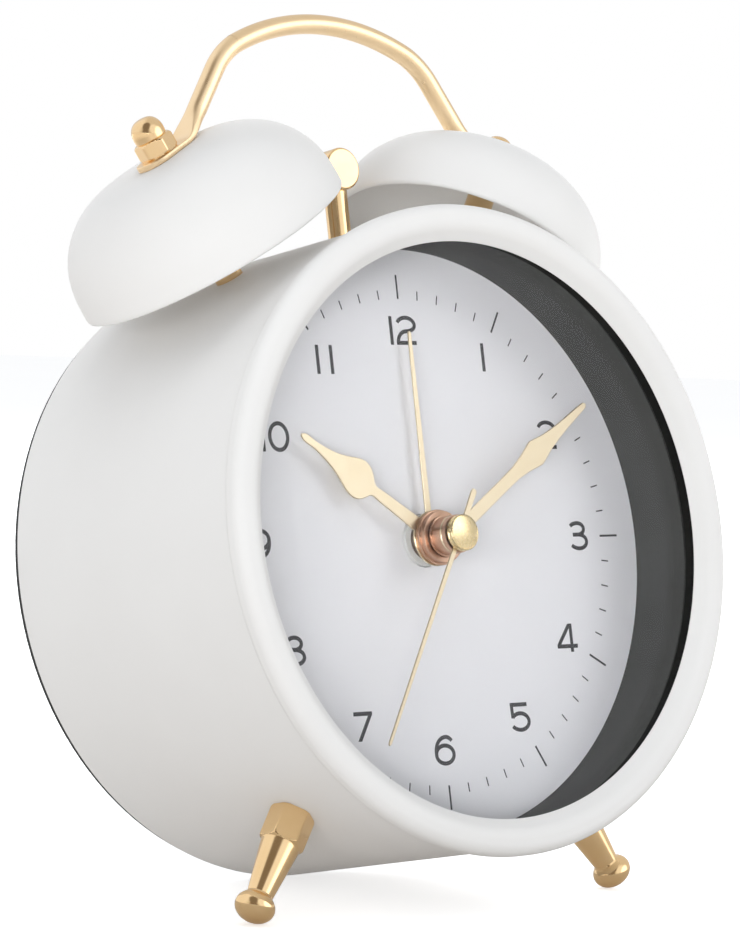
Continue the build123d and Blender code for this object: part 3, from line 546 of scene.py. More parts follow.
# digit -> strokes (centre line, closed, clip box x0 x1 z0 z1)
DIGITS = {
    "0": [(ell(0, 0, 1.98, 2.31, 0, 360, 90)[:-1], True, None)],
    "1": [(line((0, -2.56), (0, 2.56)), False, None)],
    "2": [(path(ell(0.05, 0.98, 2.05, 1.33, 160, 0), ell(0.05, 0.98, 2.05, 1.10, 0, -90)[1:], ell(0.05, -2.2, 2.08, 2.08, 90, 186)[1:]), False, (-BIG, BIG, -2.56, BIG)),
          (line((-2.39, -2.2), (2.25, -2.2)), False, None)],
    "3": [(path(ell(0, 1.26, 2.05, 1.05, 150, 90), ell(0, 1.26, 1.5, 1.05, 90, -90)[1:], line((-1.3, 0.21))), False, None),
          (path(line((-0.2, 0.21)), ell(0.1, -1.05, 1.85, 1.26, 90, -90), ell(0.1, -1.05, 2.2, 1.26, 270, 211)[1:]), False, None)],
    "4": [(line((1.08, 2.56), (1.08, -2.56)), False, None),
          (line((-2.5, -1.5), (2.5, -1.5)), False, None),
          (line((1.16, 2.9), (-2.62, -1.9)), False, (-2.5, 1.44, -1.86, 2.56))],
    "5": [(line((-2.15, 2.2), (1.9, 2.2)), False, None),
          (line((-1.82, 2.4), (-1.70, -0.2)), False, None),
          (path(ell(0.05, -0.84, 2.05, 1.47, 149, -90, 60), ell(0.05, -0.84, 2.25, 1.47, 270, 212)[1:]), False, None)],
    "6": [(ell(0.02, -0.75, 2.05, 1.58, 0, 360, 90)[:-1], True, None),
          (path(ell(0.47, -0.35, 2.5, 2.66, 196, 90), ell(0.47, -0.35, 1.95, 2.66, 90, 47)[1:]), False, None)],
    "7": [(line((-2.15, 2.2), (2.1, 2.2)), False, None),
          (line((2.12, 2.75), (-1.42, -2.9)), False, (-BIG, 2.1, -2.56, 2.56))],
    "8": [(ell(0, 1.26, 1.58, 1.06, 0, 360, 80)[:-1], True, None),
          (ell(0, -1.05, 1.98, 1.26, 0, 360, 80)[:-1], True, None)],
}
DIGITS["9"] = [(-c[::-1], k, None) for c, k, _ in DIGITS["6"]]


def stroke_field(strokes, X, Z, hw):
    """Signed distance (negative inside) to flat-ended strokes."""
    best = np.full(X.shape, 1e3)
    for c, closed, clip in strokes:
        c = np.asarray(c, float)
        nxt = np.roll(c, -1, 0) if closed else c[1:]
        cur = c if closed else c[:-1]
        d2 = np.full(X.shape, 1e6)
        for (x0, z0), (x1, z1) in zip(cur, nxt):
            dx, dz = x1 - x0, z1 - z0
            L2 = dx * dx + dz * dz
            if L2 < 1e-14:
                continue
            t = np.clip(((X - x0) * dx + (Z - z0) * dz) / L2, 0, 1)
            d2 = np.minimum(d2, (X - x0 - t * dx) ** 2 + (Z - z0 - t * dz) ** 2)
        d = np.sqrt(d2) - hw
        if not closed:
            for end, prev in ((c[0], c[1]), (c[-1], c[-2])):
                v = end - prev
                v = v / np.linalg.norm(v)
                ahead = (X - end[0]) * v[0] + (Z - end[1]) * v[1]
                near = (X - end[0]) ** 2 + (Z - end[1]) ** 2 < (1.6 * hw) ** 2
                d = np.where(near, np.maximum(d, ahead), d)
        if clip is not None:
            d = np.maximum(d, np.maximum(np.maximum(clip[0] - X, X - clip[1]), np.maximum(clip[2] - Z, Z - clip[3])))
        best = np.minimum(best, d)
    return best


def contours(D, xs, zs):
    """Closed zero lines of a sampled field."""
    nx, nz = len(xs), len(zs)
    neg = D < 0
    segs = {}

    def cross(i, j, horizontal):
        if horizontal:
            a, b = D[j, i], D[j, i + 1]
            return (xs[i] + (xs[i + 1] - xs[i]) * a / (a - b), zs[j])
        a, b = D[j, i], D[j + 1, i]
        return (xs[i], zs[j] + (zs[j + 1] - zs[j]) * a / (a - b))

    pts = {}
    mixed = np.argwhere((neg[:-1, :-1] != neg[1:, :-1]) | (neg[:-1, :-1] != neg[:-1, 1:]) | (neg[:-1, :-1] != neg[1:, 1:]))
    for j, i in mixed:
        j, i = int(j), int(i)
        edges = []
        for key, ca, cb, arg in (
                ((i, j, 0), neg[j, i], neg[j, i + 1], (i, j, True)),
                ((i + 1, j, 1), neg[j, i + 1], neg[j + 1, i + 1], (i + 1, j, False)),
                ((i, j + 1, 0), neg[j + 1, i + 1], neg[j + 1, i], (i, j + 1, True)),
                ((i, j, 1), neg[j + 1, i], neg[j, i], (i, j, False))):
            if ca != cb:
                if key not in pts:
                    pts[key] = cross(*arg)
                edges.append((key, ca))
        # walk from entering crossings to leaving ones so that pairs never cross
        if len(edges) == 2:
            pairs = [(edges[0][0], edges[1][0])]
        else:
            pairs = [(edges[0][0], edges[1][0]), (edges[2][0], edges[3][0])]
        for a, b in pairs:
            segs.setdefault(a, []).append(b)
            segs.setdefault(b, []).append(a)
    loops, seen = [], set()
    for s in list(segs):
        if s in seen:
            continue
        loop, prev, cur = [], None, s
        while cur not in seen:
            seen.add(cur)
            loop.append(pts[cur])
            nxt = [q for q in segs[cur] if q != prev]
            prev, cur = cur, (nxt[0] if nxt else s)
        if len(loop) > 5:
            loops.append(np.array(loop))
    return loops


def tidy(L, tol=0.004):
    """Drops points that lie on a straight run, and repeated points."""
    keep = [L[0]]
    for p in L[1:]:
        if np.linalg.norm(p - keep[-1]) > 0.012:
            keep.append(p)
    L = np.array(keep)
    if np.linalg.norm(L[0] - L[-1]) < 0.012:
        L = L[:-1]
    out = []
    n = len(L)
    for i in range(n):
        a, b, c = L[i - 1], L[i], L[(i + 1) % n]
        d = c - a
        off = abs(d[0] * (b - a)[1] - d[1] * (b - a)[0]) / max(np.linalg.norm(d), 1e-9)
        if off > tol or i % 3 == 0:
            out.append(b)
    return np.array(out)


PRINT_T = 0.035


def on_dial(p, y):
    p = np.asarray(p, float)
    return np.stack([p[:, 0], np.full(len(p), y), p[:, 1]], 1)


glyph_cache = {}


def glyph(ch):
    if ch not in glyph_cache:
        xs = np.arange(-3.2, 3.2001, 0.045)
        zs = np.arange(-3.2, 3.2001, 0.045)
        X, Z = np.meshgrid(xs, zs)
        D = stroke_field(DIGITS[ch], X, Z, STROKE)
        loops = [tidy(L) for L in contours(D + 1e-9, xs, zs)]
        loops.sort(key=lambda L: -abs(area2(L)))
        glyph_cache[ch] = loops
    return glyph_cache[ch]


print_parts = []
NUMERALS = {
    "12": (0.25, 37.43), "1": (18.90, 32.78), "2": (32.50, 18.63), "3": (37.68, 0.12), "4": (32.10, -18.34),
    "5": (18.54, -31.98), "6": (-0.14, -36.94), "7": (-18.12, -31.90), "8": (-31.85, -18.32), "9": (-37.10, 0.18),
    "10": (-31.50, 18.63), "11": (-18.46, 32.13),
}
SPACING = {"12": (-2.62, 0.86), "10": (-2.60, 0.90), "11": (-1.57, 1.57)}
for text, (cx, cz) in NUMERALS.items():
    offs = SPACING.get(text, (0.0,))
    for ch, dx in zip(text, offs):
        loops = [L + np.array([cx + dx, cz]) for L in glyph(ch)]
        print_parts.append(stamped(loops, DIAL_Y - PRINT_T, DIAL_Y + 0.01, 0.012, on_dial))
for k in range(60):
    a = math.radians(6 * k)
    r0, r1, w = (43.1, 47.4, 0.19) if k % 5 == 0 else (43.1, 44.75, 0.12)
    d, t = np.array([math.sin(a), math.cos(a)]), np.array([math.cos(a), -math.sin(a)])
    L = np.array([d * r0 - t * w, d * r0 + t * w, d * r1 + t * w, d * r1 - t * w])
    print_parts.append(stamped([L], DIAL_Y - PRINT_T, DIAL_Y + 0.01, 0.012, on_dial))
solid("dial_print", *join(print_parts), M_PRINT, "case", (), "dial_paint", 30)

# ---------------------------------------------------------------------------
# Case drum
# ---------------------------------------------------------------------------
ys = [(CASE_R, y) for y in np.linspace(8.0, 61.0, 27)]
outer = rounded([(CASE_IN, 4.0), (CASE_R, 4.0), (CASE_R, REAR_Y), (CASE_IN, REAR_Y)], [0.1, 0.2, 0.30, 0.15], seg=6)
k = max(i for i, (r, y) in enumerate(outer) if y < 8.0 and r > CASE_R - 1e-6)
inner_ys = [(CASE_IN, y) for y in np.linspace(61.0, 8.0, 27)]
prof = outer[:k + 1] + ys + outer[k + 1:] + inner_ys
drum = scratch("drum", *spin(prof, AXIS_Y, 360))


def box_pf(x0, x1, y0, y1, z0, z1):
    P = np.array([(x, y, z) for x in (x0, x1) for y in (y0, y1) for z in (z0, z1)], float)
    F = [(0, 1, 3, 2), (4, 6, 7, 5), (0, 4, 5, 1), (2, 3, 7, 6), (0, 2, 6, 4), (1, 5, 7, 3)]
    return P, F


BELL_X, BELL_Y, BELL_Z, BELL_TILT = 29.577, 32.9, 54.518, 30.6
FOOT_ANGLE, FOOT_Y = 34.65, 24.0
slot_loop = rounded([(-4.4, -2.55), (4.4, -2.55), (4.4, 2.55), (-4.4, 2.55)], [1.0] * 4, seg=5)
sp = np.array([(x, 32.5 + y, z) for z in (48.0, 60.0) for x, y in slot_loop])
m = len(slot_loop)
sf = [tuple(range(m)), tuple(range(2 * m - 1, m - 1, -1))] + [(i, (i + 1) % m, m + (i + 1) % m, m + i) for i in range(m)]
cutters = [scratch("cut_slot", sp, sf)]
for side in (1, -1):
    fr = spoke(side, BELL_TILT, BELL_Y, side * BELL_X, BELL_Z)
    cutters.append(scratch("cut_post", *spin([(0, -14), (2.05, -14), (2.05, -4), (0, -4)], fr, 32)))
    fr = spoke(side, 180 - FOOT_ANGLE, FOOT_Y)
    cutters.append(scratch("cut_foot", *spin([(0, 51), (2.05, 51), (2.05, 59), (0, 59)], fr, 32)))
piece("case_drum", boolean(drum, cutters), M_WHITE, "case", ["case_shell"], "white_paint", 35)

# ---------------------------------------------------------------------------
# Bells, posts, cap nuts
# ---------------------------------------------------------------------------
BELL_R, BELL_H, BELL_FLAT, BELL_EXP, BELL_LIP, BELL_WALL = 25.45, 19.0, 17.55, 2.45, 1.2, 1.2


def dome(radius, height, flat, n=90):
    """(radius, height) from the rim to near the axis."""
    k = 0.6
    out = []
    for i in range(n + 1):
        f = (i / n) ** 0.85 * math.pi / 2
        r = radius * max(math.cos(f), 0.0) ** (2 / BELL_EXP)
        se = height * math.sin(f) ** (2 / BELL_EXP)
        h = -k * math.log(math.exp(-se / k) + math.exp(-(flat + 0.09) / k))
        out.append((r, max(h, 0.0)))
    return out


HOLE = 2.05
outer = [p for p in dome(BELL_R, BELL_H, BELL_FLAT) if p[0] > HOLE + 0.4]
ri = BELL_R - BELL_WALL
inner = [p for p in dome(ri, BELL_H - BELL_WALL, BELL_FLAT - BELL_WALL) if p[0] > HOLE + 0.4]
lip = [(ri, -BELL_LIP + 0.45), (ri + 0.13, -BELL_LIP + 0.13), (ri + 0.45, -BELL_LIP), (BELL_R - 0.45, -BELL_LIP),
       (BELL_R - 0.13, -BELL_LIP + 0.13), (BELL_R, -BELL_LIP + 0.45)]
bell_prof = [(HOLE, BELL_FLAT - BELL_WALL)] + inner[::-1] + lip + outer + [(HOLE, BELL_FLAT)]
NUT_Z = BELL_FLAT + 1.1
nut_parts = []
for side, label in ((-1, "left"), (1, "right")):
    fr = spoke(side, BELL_TILT, BELL_Y, side * BELL_X, BELL_Z)
    solid("bell_" + label, *spin(bell_prof, fr, 288), M_WHITE, "case", [label + "_bell"], "white_paint", 50)
    post = rounded([(0, -12.5), (2.0, -12.5), (2.0, -6.75), (2.55, -6.75), (2.55, BELL_FLAT - BELL_WALL), (2.0, BELL_FLAT - BELL_WALL),
                    (2.0, NUT_Z + 3.6), (0, NUT_Z + 3.6)], [0, 0.3, 0, 0.05, 0.25, 0, 0.2, 0], seg=4)
    solid("bell_post_" + label, *spin(post, fr, 72), M_GOLD, "case", [label + "_bell_post"], "gold_plate")
    hexr = hex_radius(6.4, turn=0.26)
    st = [(2.0, NUT_Z + 0.0), (3.30, NUT_Z + 0.0)]
    for h, lim in ((0.06, 3.36), (0.20, 3.52), (0.36, 3.70), (0.5, 9), (1.3, 9), (2.2, 9), (2.42, 3.72), (2.58, 3.60), (2.74, 3.46), (2.90, 3.30), (2.98, 3.18)):
        st.append((cut_by(hexr, lim), NUT_Z + h))
    st += [(2.98, NUT_Z + 3.02), (2.86, NUT_Z + 3.10), (2.90, NUT_Z + 3.22)]
    for a in np.linspace(0, 1, 18):
        st.append((2.95 * math.cos(a * math.pi / 2) ** 0.72 if a < 1 else 0.0, NUT_Z + 4.15 + 2.75 * math.sin(a * math.pi / 2) ** 1.05))
    st += [(0.0, NUT_Z + 3.6), (2.0, NUT_Z + 3.6)]
    nut_parts.append(spin(st, fr, 120))
solid("acorn_nuts", *join(nut_parts), M_GOLD, "case", ["cap_nuts"], "gold_plate", 26)

# ---------------------------------------------------------------------------
# Handle: one rod, flattened at both ends and bent flat under the nuts
# ---------------------------------------------------------------------------
BOW_R, PLATE_T, PLATE_W = 1.78, 1.1, 7.2
ta = math.radians(BELL_TILT)
mid_h = BELL_FLAT + PLATE_T / 2
nut_c = np.array([BELL_X + mid_h * math.sin(ta), BELL_Z + mid_h * math.cos(ta)])
inward = np.array([-math.cos(ta), math.sin(ta)])
leg_a, beta = math.radians(57.0), math.radians(27.0)
top_z = (95.76 - 45.5) + 45.5 / math.cos(beta)
leg_p = np.array([26.03, 85.1])
leg_d = np.array([-math.cos(leg_a), math.sin(leg_a)])
sh_x = (leg_p[1] + math.tan(leg_a) * leg_p[0] - top_z) / (math.tan(leg_a) - math.tan(beta))
sh = np.array([sh_x, top_z - math.tan(beta) * sh_x])
den = inward[0] * leg_d[1] - inward[1] * leg_d[0]
w0 = leg_p - nut_c
u_bend = (w0[0] * leg_d[1] - w0[1] * leg_d[0]) / den
bend = nut_c + u_bend * inward
TIP = 1.5 + PLATE_W / 2
tip = nut_c - TIP * inward
right_side = [tuple(tip), tuple(bend), tuple(sh)]
line_pts = rounded(right_side + [(0.0, top_z)] + [(-x, z) for x, z in right_side[::-1]],
                   [0, 6.5, 15.0, 45.5, 15.0, 6.5, 0], seg=60, closed=False, share=1.0)
line_pts = np.array(line_pts)
cum = np.concatenate([[0], np.cumsum(np.linalg.norm(np.diff(line_pts, axis=0), axis=1))])
total = cum[-1]
fine_s = np.concatenate([np.linspace(0, 0.9, 16) ** 2 / 0.9, np.linspace(1.0, 24.0, 110), np.linspace(24.4, total / 2, 90)])
fine_s = np.unique(np.round(np.concatenate([fine_s, total - fine_s]), 5))
cx = np.interp(fine_s, cum, line_pts[:, 0])
cz = np.interp(fine_s, cum, line_pts[:, 1])
tx, tz = np.gradient(cx, fine_s), np.gradient(cz, fine_s)
ker = np.ones(7) / 7
tx, tz = np.convolve(np.pad(tx, 3, mode="edge"), ker, "valid"), np.convolve(np.pad(tz, 3, mode="edge"), ker, "valid")
ln = np.hypot(tx, tz)
tx, tz = tx / ln, tz / ln
M_SEC = 56
ang = np.arange(M_SEC) * 2 * math.pi / M_SEC
HP, HF = [], []
flat_end, round_start = TIP + u_bend - 1.2, TIP + u_bend + 7.4
for i, s in enumerate(fine_s):
    e = min(s, total - s)
    t = min(max((e - flat_end) / (round_start - flat_end), 0.0), 1.0)
    t = t * t * (3 - 2 * t)
    half_w = (1 - t) * (3.6 - 0.3 * min(max((e - 3.6) / (TIP + u_bend - 3.6), 0), 1)) + t * BOW_R
    if e < PLATE_W / 2:
        half_w = max(math.sqrt(max((PLATE_W / 2) ** 2 - (PLATE_W / 2 - e) ** 2, 0.0)), 0.05)
    half_t = (1 - t) * PLATE_T / 2 + t * BOW_R
    if e < 0.3:
        half_t *= 0.55 + 0.45 * math.sqrt(max(1 - (1 - e / 0.3) ** 2, 0.0))
    p = 2.0 + 6.0 * (1 - t) ** 2
    c, q = np.cos(ang), np.sin(ang)
    yy = half_w * np.sign(c) * np.abs(c) ** (2 / p)
    nn = half_t * np.sign(q) * np.abs(q) ** (2 / p)
    nx, nz = -tz[i], tx[i]
    HP.append(np.stack([cx[i] + nn * nx, BELL_Y - 0.5 * t + yy, cz[i] + nn * nz], 1))
NS = len(fine_s)
HP = np.vstack(HP)
for i in range(NS - 1):
    for j in range(M_SEC):
        j2 = (j + 1) % M_SEC
        HF.append((i * M_SEC + j, i * M_SEC + j2, (i + 1) * M_SEC + j2, (i + 1) * M_SEC + j))
HF.append(tuple(range(M_SEC)))
HF.append(tuple((NS - 1) * M_SEC + j for j in range(M_SEC))[::-1])
bow = scratch("bow", HP, HF)
cutters = []
for side in (1, -1):
    fr = spoke(side, BELL_TILT, BELL_Y, side * BELL_X, BELL_Z)
    cutters.append(scratch("cut_eye", *spin([(0, 16), (2.05, 16), (2.05, 20.2), (0, 20.2)], fr, 48)))
piece("carry_handle", boolean(bow, cutters), M_BOW_PAINTED_LIGHTER, "case", ["handle"], "gold_plate", 40)

# ---------------------------------------------------------------------------
# Feet
# ---------------------------------------------------------------------------
BUTTON_R, BUTTON_H = 3.55, 2.70
steep = math.cos(math.radians(FOOT_ANGLE)) * CL
BUTTON_D = (AXIS_HEIGHT - FOOT_Y * SL - math.hypot(BUTTON_H * steep, BUTTON_R * math.sqrt(1 - steep ** 2))) / steep
for side, label in ((-1, "left"), (1, "right")):
    fr = spoke(side, 180 - FOOT_ANGLE, FOOT_Y)
    hexr = hex_radius(7.1, turn=math.pi / 6)
    st = [(0.0, 50.4), (1.75, 50.4), (2.0, 50.7), (2.0, 55.42), (cut_by(hexr, 3.80), 55.42)]
    for h, lim in ((55.52, 3.88), (55.66, 3.98), (55.85, 9), (57.5, 9), (59.0, 9), (60.6, 9), (61.02, 9), (61.20, 4.02), (61.36, 3.90), (61.50, 3.76), (61.60, 3.60)):
        st.append((cut_by(hexr, lim), h))
    st += [(3.52, 61.66), (3.47, 61.80), (3.45, 62.05)]
    for a in np.linspace(0.06, 1, 16):
        st.append((3.45 + (2.30 - 3.45) * a, 62.05 + (71.45 - 62.05) * a))
    a0 = math.acos(math.sqrt(1 - (2.42 / BUTTON_R) ** 2))
    for a in np.linspace(a0, math.pi, 52):
        st.append((BUTTON_R * math.sin(a) if a < math.pi - 1e-6 else 0.0, BUTTON_D - BUTTON_H * math.cos(a)))
    solid("foot_" + label, *spin(st, fr, 144, closed=False), M_FOOT, "case", [label + "_foot"], "gold_plate", 26)

# ---------------------------------------------------------------------------
# Hammer
# ---------------------------------------------------------------------------
HY, HZ, HEAD_R, ROD_R = 32.5, 68.8, 3.85, 2.1
up = (np.array([0.0, HY, 0.0]), np.array([1.0, 0, 0]), np.array([0.0, 1, 0]), np.array([0.0, 0, 1]))
st = rounded([(0, 41.6), (ROD_R, 41.6), (ROD_R, 67.0), (0, 67.0)], [0, 0.3, 0.3, 0], seg=5)
solid("hammer_rod", *spin(st, up, 72), M_GOLD, "hammer", ["hammer_stem"], "gold_plate")
st = rounded([(0, 29.5), (HEAD_R, 29.5), (HEAD_R, 36.3), (0, 36.3)], [0, 0.45, 0.45, 0], seg=7)
knock = scratch("knock", *spin(st, at_y(0, 0, HZ), 144))
cut = scratch("cut_rod", *spin([(0, 46), (ROD_R, 46), (ROD_R, 67.0), (0, 67.0)], up, 72))
piece("hammer_barrel", boolean(knock, [cut]), M_GOLD, "hammer", ["hammer_head"], "gold_plate", 30)

# ---------------------------------------------------------------------------
# Hands
# ---------------------------------------------------------------------------
def hand_space(degrees):
    a = math.radians(degrees)
    xd, yd = np.array([math.cos(a), 0, -math.sin(a)]), np.array([math.sin(a), 0, math.cos(a)])

    def to3d(p, y):
        p = np.asarray(p, float)
        return np.array([0, y, 0]) + np.outer(p[:, 0], xd) + np.outer(p[:, 1], yd)
    return to3d


def circle(r, n=72):
    a = np.arange(n) * 2 * math.pi / n
    return np.stack([r * np.cos(a), r * np.sin(a)], 1)


def hand_loop(table, disc, spline, tail=None):
    """Outline of a hand: blade half-widths along its length, a round eye, and a tail if it has one."""
    if spline:
        right = cubic([(w, r) for r, w in table], 160)
    else:
        right = []
        for (r0, w0), (r1, w1) in zip(table[:-1], table[1:]):
            n = max(2, int((r1 - r0) / 0.8))
            right += [(w0 + (w1 - w0) * q / n, r0 + (r1 - r0) * q / n) for q in range(n)]
        right.append((table[-1][1], table[-1][0]))
        right = np.array(right)
    right = right[np.hypot(right[:, 0], right[:, 1]) > disc + 0.02]
    w0 = right[0][0]
    start = math.atan2(math.sqrt(disc ** 2 - w0 ** 2), w0)
    pts = [(w0, math.sqrt(disc ** 2 - w0 ** 2))] + [tuple(p) for p in right] + [(-p[0], p[1]) for p in right[::-1]] + [(-w0, math.sqrt(disc ** 2 - w0 ** 2))]
    if tail is None:
        arc = np.linspace(math.pi - start, 2 * math.pi + start, 60)[1:-1]
        pts += [(disc * math.cos(a), disc * math.sin(a)) for a in arc]
    else:
        tw = tail[0][1]
        te = math.atan2(-math.sqrt(disc ** 2 - tw ** 2), -tw) % (2 * math.pi)
        arc = np.linspace(math.pi - start, te, 24)[1:]
        pts += [(disc * math.cos(a), disc * math.sin(a)) for a in arc]
        tl = [(w, -r) for r, w in tail if r > disc]
        pts += [(-w, z) for w, z in tl] + [(w, z) for w, z in tl[::-1]]
        arc = np.linspace(3 * math.pi - te, 2 * math.pi + start, 24)[:-1]
        pts += [(disc * math.cos(a), disc * math.sin(a)) for a in arc]
    L = np.array(pts)
    keep = [0]
    for i in range(1, len(L)):
        if np.linalg.norm(L[i] - L[keep[-1]]) > 1e-3:
            keep.append(i)
    return L[keep]


HOUR_OUT = [(0.5, 1.35), (6.0, 1.28), (11.0, 1.12), (14.3, 1.0), (15.7, 1.06), (16.6, 1.95), (17.7, 3.05), (19.2, 3.6),
            (20.9, 3.3), (22.8, 2.45), (25.4, 1.45), (28.1, 0.9), (31.0, 0.66), (33.2, 0.5), (33.7, 0.18)]
MINUTE_OUT = [(0.5, 1.2), (8.0, 1.18), (15.0, 1.16), (19.2, 1.22), (22.3, 1.65), (25.75, 2.48), (29.0, 1.65), (32.0, 1.22),
              (35.2, 0.9), (38.8, 0.72), (41.3, 0.55), (41.8, 0.2)]
ALARM_OUT = [(0.5, 0.7), (12.0, 0.58), (25.0, 0.46), (36.6, 0.34), (37.0, 0.15)]
SECOND_OUT = [(0.5, 0.52), (15.0, 0.44), (30.0, 0.36), (41.4, 0.3), (41.8, 0.12)]
for nm, table, disc, hole, deg, y0, t, spl, tail, node, body in (
        ("hand_alarm", ALARM_OUT, 3.9, 3.4, 0.0, 16.8, 0.3, False, None, "alarm_hand", "alarm_hand_group"),
        ("hand_hour", HOUR_OUT, 4.9, 2.6, -56.6, 15.7, 0.3, True, None, "hour_hand", "hour_hand_group"),
        ("hand_minute", MINUTE_OUT, 3.4, 2.2, 56.6, 10.5, 0.3, False, None, "minute_hand", "minute_hand_group"),
        ("hand_second", SECOND_OUT, 2.2, 0.75, -149.4, 9.15, 0.25, False, [(0.5, 0.52), (8.4, 0.6), (8.9, 0.35)], "second_hand", "second_hand_group")):
    loop = hand_loop(table, disc, spl, tail)
    solid(nm, *stamped([loop, circle(hole)], y0, y0 + t, 0.07, hand_space(deg)), M_HAND, body, [node], "hand_gold", 20)


# turned bushes: a flange or the eye of the hand shows as a bright line at their rear edge
hour_bush = rounded([(2.6, 13.5), (4.6, 13.5), (4.6, 14.5), (4.9, 14.5), (4.9, 14.75), (4.6, 14.75), (4.6, 15.7), (2.6, 15.7)],
                    [0.08, 0.14, 0.04, 0.06, 0.06, 0.04, 0.05, 0.0], seg=4)
solid("bush_hour", *spin(hour_bush, AXIS_Y, 128), M_COPPER, "hour_hand_group", ["hour_hand_bush"], "bush_copper", 30)
minute_bush = rounded([(0.95, 9.55), (3.35, 9.55), (3.35, 10.5), (2.2, 10.5), (2.2, 10.8), (3.35, 10.8), (3.35, 13.0), (3.65, 13.0), (3.65, 13.25),
                       (1.6, 13.25), (1.6, 10.45), (0.95, 10.45)], [0.08, 0.12, 0.04, 0.0, 0.0, 0.04, 0.05, 0.06, 0.06, 0.0, 0.0, 0.0], seg=4)
solid("bush_minute", *spin(minute_bush, AXIS_Y, 128), M_COPPER, "minute_hand_group", ["minute_hand_bush"], "bush_copper", 30)
cap = [(0.0, 8.65), (0.75, 8.65), (0.75, 9.15), (3.06, 9.15), (3.15, 9.12), (3.19, 9.04), (3.19, 8.86), (3.10, 8.80), (3.05, 8.72), (3.05, 8.62), (3.10, 8.54),
       (3.19, 8.48), (3.2, 8.16), (3.18, 8.06), (3.12, 7.98), (3.03, 7.93), (2.90, 7.895)]
for a in np.linspace(0.08, 1, 16):
    cap.append((2.90 * (1 - a) if a < 1 else 0.0, 7.895 - 0.265 * (1 - (1 - a) ** 2)))
solid("second_cap", *spin(cap, AXIS_Y, 128), M_CAP, "second_hand_group", ["second_hand_cap"], "cap_gold", 30)

# ---------------------------------------------------------------------------
# Camera at the photograph's viewing angle
# ---------------------------------------------------------------------------
az, el, roll = math.radians(-41.315), math.radians(-5.971), math.radians(-5.954)
back = np.array([math.sin(az) * math.cos(el), -math.cos(az) * math.cos(el), math.sin(el)])
right = np.array([math.cos(az), math.sin(az), 0.0])
upv = np.cross(back, right)
r2 = math.cos(roll) * right + math.sin(roll) * upv
u2 = -math.sin(roll) * right + math.cos(roll) * upv
R = np.stack([r2, u2, back])
eye = -R.T @ np.array([21.543, -9.663, -726.573])
cam_data = bpy.data.cameras.new("camera")
cam_data.sensor_width = 36.0
cam_data.sensor_fit = "AUTO"
cam_data.lens = 4217.4 * 36.0 / 940.0
cam_data.clip_start, cam_data.clip_end = 0.01, 100.0
cam = bpy.data.objects.new("camera", cam_data)
scene.collection.objects.link(cam)
cols = [row_dir(r2), row_dir(u2), row_dir(back)]
mw = Matrix.Identity(4)
for j, c in enumerate(cols):
    for i in range(3):
        mw[i][j] = c[i]
mw.translation = Vector(row([eye])[0])
cam.matrix_world = mw
scene.camera = cam

# ---------------------------------------------------------------------------
# Floor, studio light
# ---------------------------------------------------------------------------
def floor(name, z, tone, glow):
    n = 96
    P = [(0.0, 0.0, 0.0)]
    F = []
    rs = [0.15, 0.4, 0.9, 1.8, 3.2]
    for r in rs:
        P += [(r * math.cos(2 * math.pi * i / n), r * math.sin(2 * math.pi * i / n), 0.0) for i in range(n)]
    for i in range(n):
        F.append((0, 1 + i, 1 + (i + 1) % n))
    for k in range(len(rs) - 1):
        for i in range(n):
            j = (i + 1) % n
            F.append((1 + k * n + i, 1 + (k + 1) * n + i, 1 + (k + 1) * n + j, 1 + k * n + j))
    me = bpy.data.meshes.new(name)
    me.from_pydata(P, [], F)
    m, nt, b, tc = new_mat(name + "_tone")
    soft = noise(nt, tc, 6.0, 2.0)
    nt.links.new(ramp(nt, soft, [(0.3, tuple(v * 0.98 for v in tone)), (0.7, tone)]), b.inputs["Base Color"])
    b.inputs["Roughness"].default_value = 0.9
    b.inputs["Specular IOR Level"].default_value = 0.1
    b.inputs["Emission Color"].default_value = (1.0, 1.0, 1.0, 1.0)
    b.inputs["Emission Strength"].default_value = glow[0]
    # emission strength rises with distance from the centre; the lower glow near the clock is a painted contact shadow
    if glow[0] != glow[1]:
        away = nt.nodes.new("ShaderNodeVectorMath")
        away.operation = "LENGTH"
        nt.links.new(tc.outputs["Object"], away.inputs[0])
        far = nt.nodes.new("ShaderNodeMapRange")
        far.interpolation_type = "SMOOTHSTEP"
        for k, v in (("From Min", 0.06), ("From Max", 0.40), ("To Min", glow[0]), ("To Max", glow[1])):
            far.inputs[k].default_value = v
        nt.links.new(away.outputs["Value"], far.inputs["Value"])
        nt.links.new(far.outputs["Result"], b.inputs["Emission Strength"])
    me.materials.append(m)
    ob = bpy.data.objects.new(name, me)
    scene.collection.objects.link(ob)
    ob.location.z = z
    return ob


# the pale floor that is seen, and the darker table top that sends light back up, partly by reflection and partly by its
# own glow, which is painted light; the glow is low near the clock as a painted contact shadow
GLOW_IN_PAINTED_SHADOW, FAR = 0.133, 0.58
seen_floor = floor("studio_floor", -0.0001, (0.92, 0.92, 0.92), (0.55, 0.55))
seen_floor.visible_diffuse = False
seen_floor.visible_glossy = False
seen_floor.visible_transmission = False
table = floor("studio_table", -0.0004, (0.72, 0.68, 0.64), (GLOW_IN_PAINTED_SHADOW, FAR))
table.visible_camera = False
table.visible_shadow = False


COOL = (0.975, 1.0, 1.03)


def softbox(name, loc, target, sx, sy, radiance):
    d = bpy.data.lights.new(name, "AREA")
    d.shape = "RECTANGLE"
    d.size, d.size_y = sx, sy
    d.energy = radiance * math.pi * sx * sy
    d.color = COOL
    o = bpy.data.objects.new(name, d)
    scene.collection.objects.link(o)
    o.location = loc
    o.rotation_mode = "QUATERNION"
    o.rotation_quaternion = (Vector(target) - Vector(loc)).to_track_quat("-Z", "Y")
    o.visible_glossy = False
    o.visible_camera = False
    return o


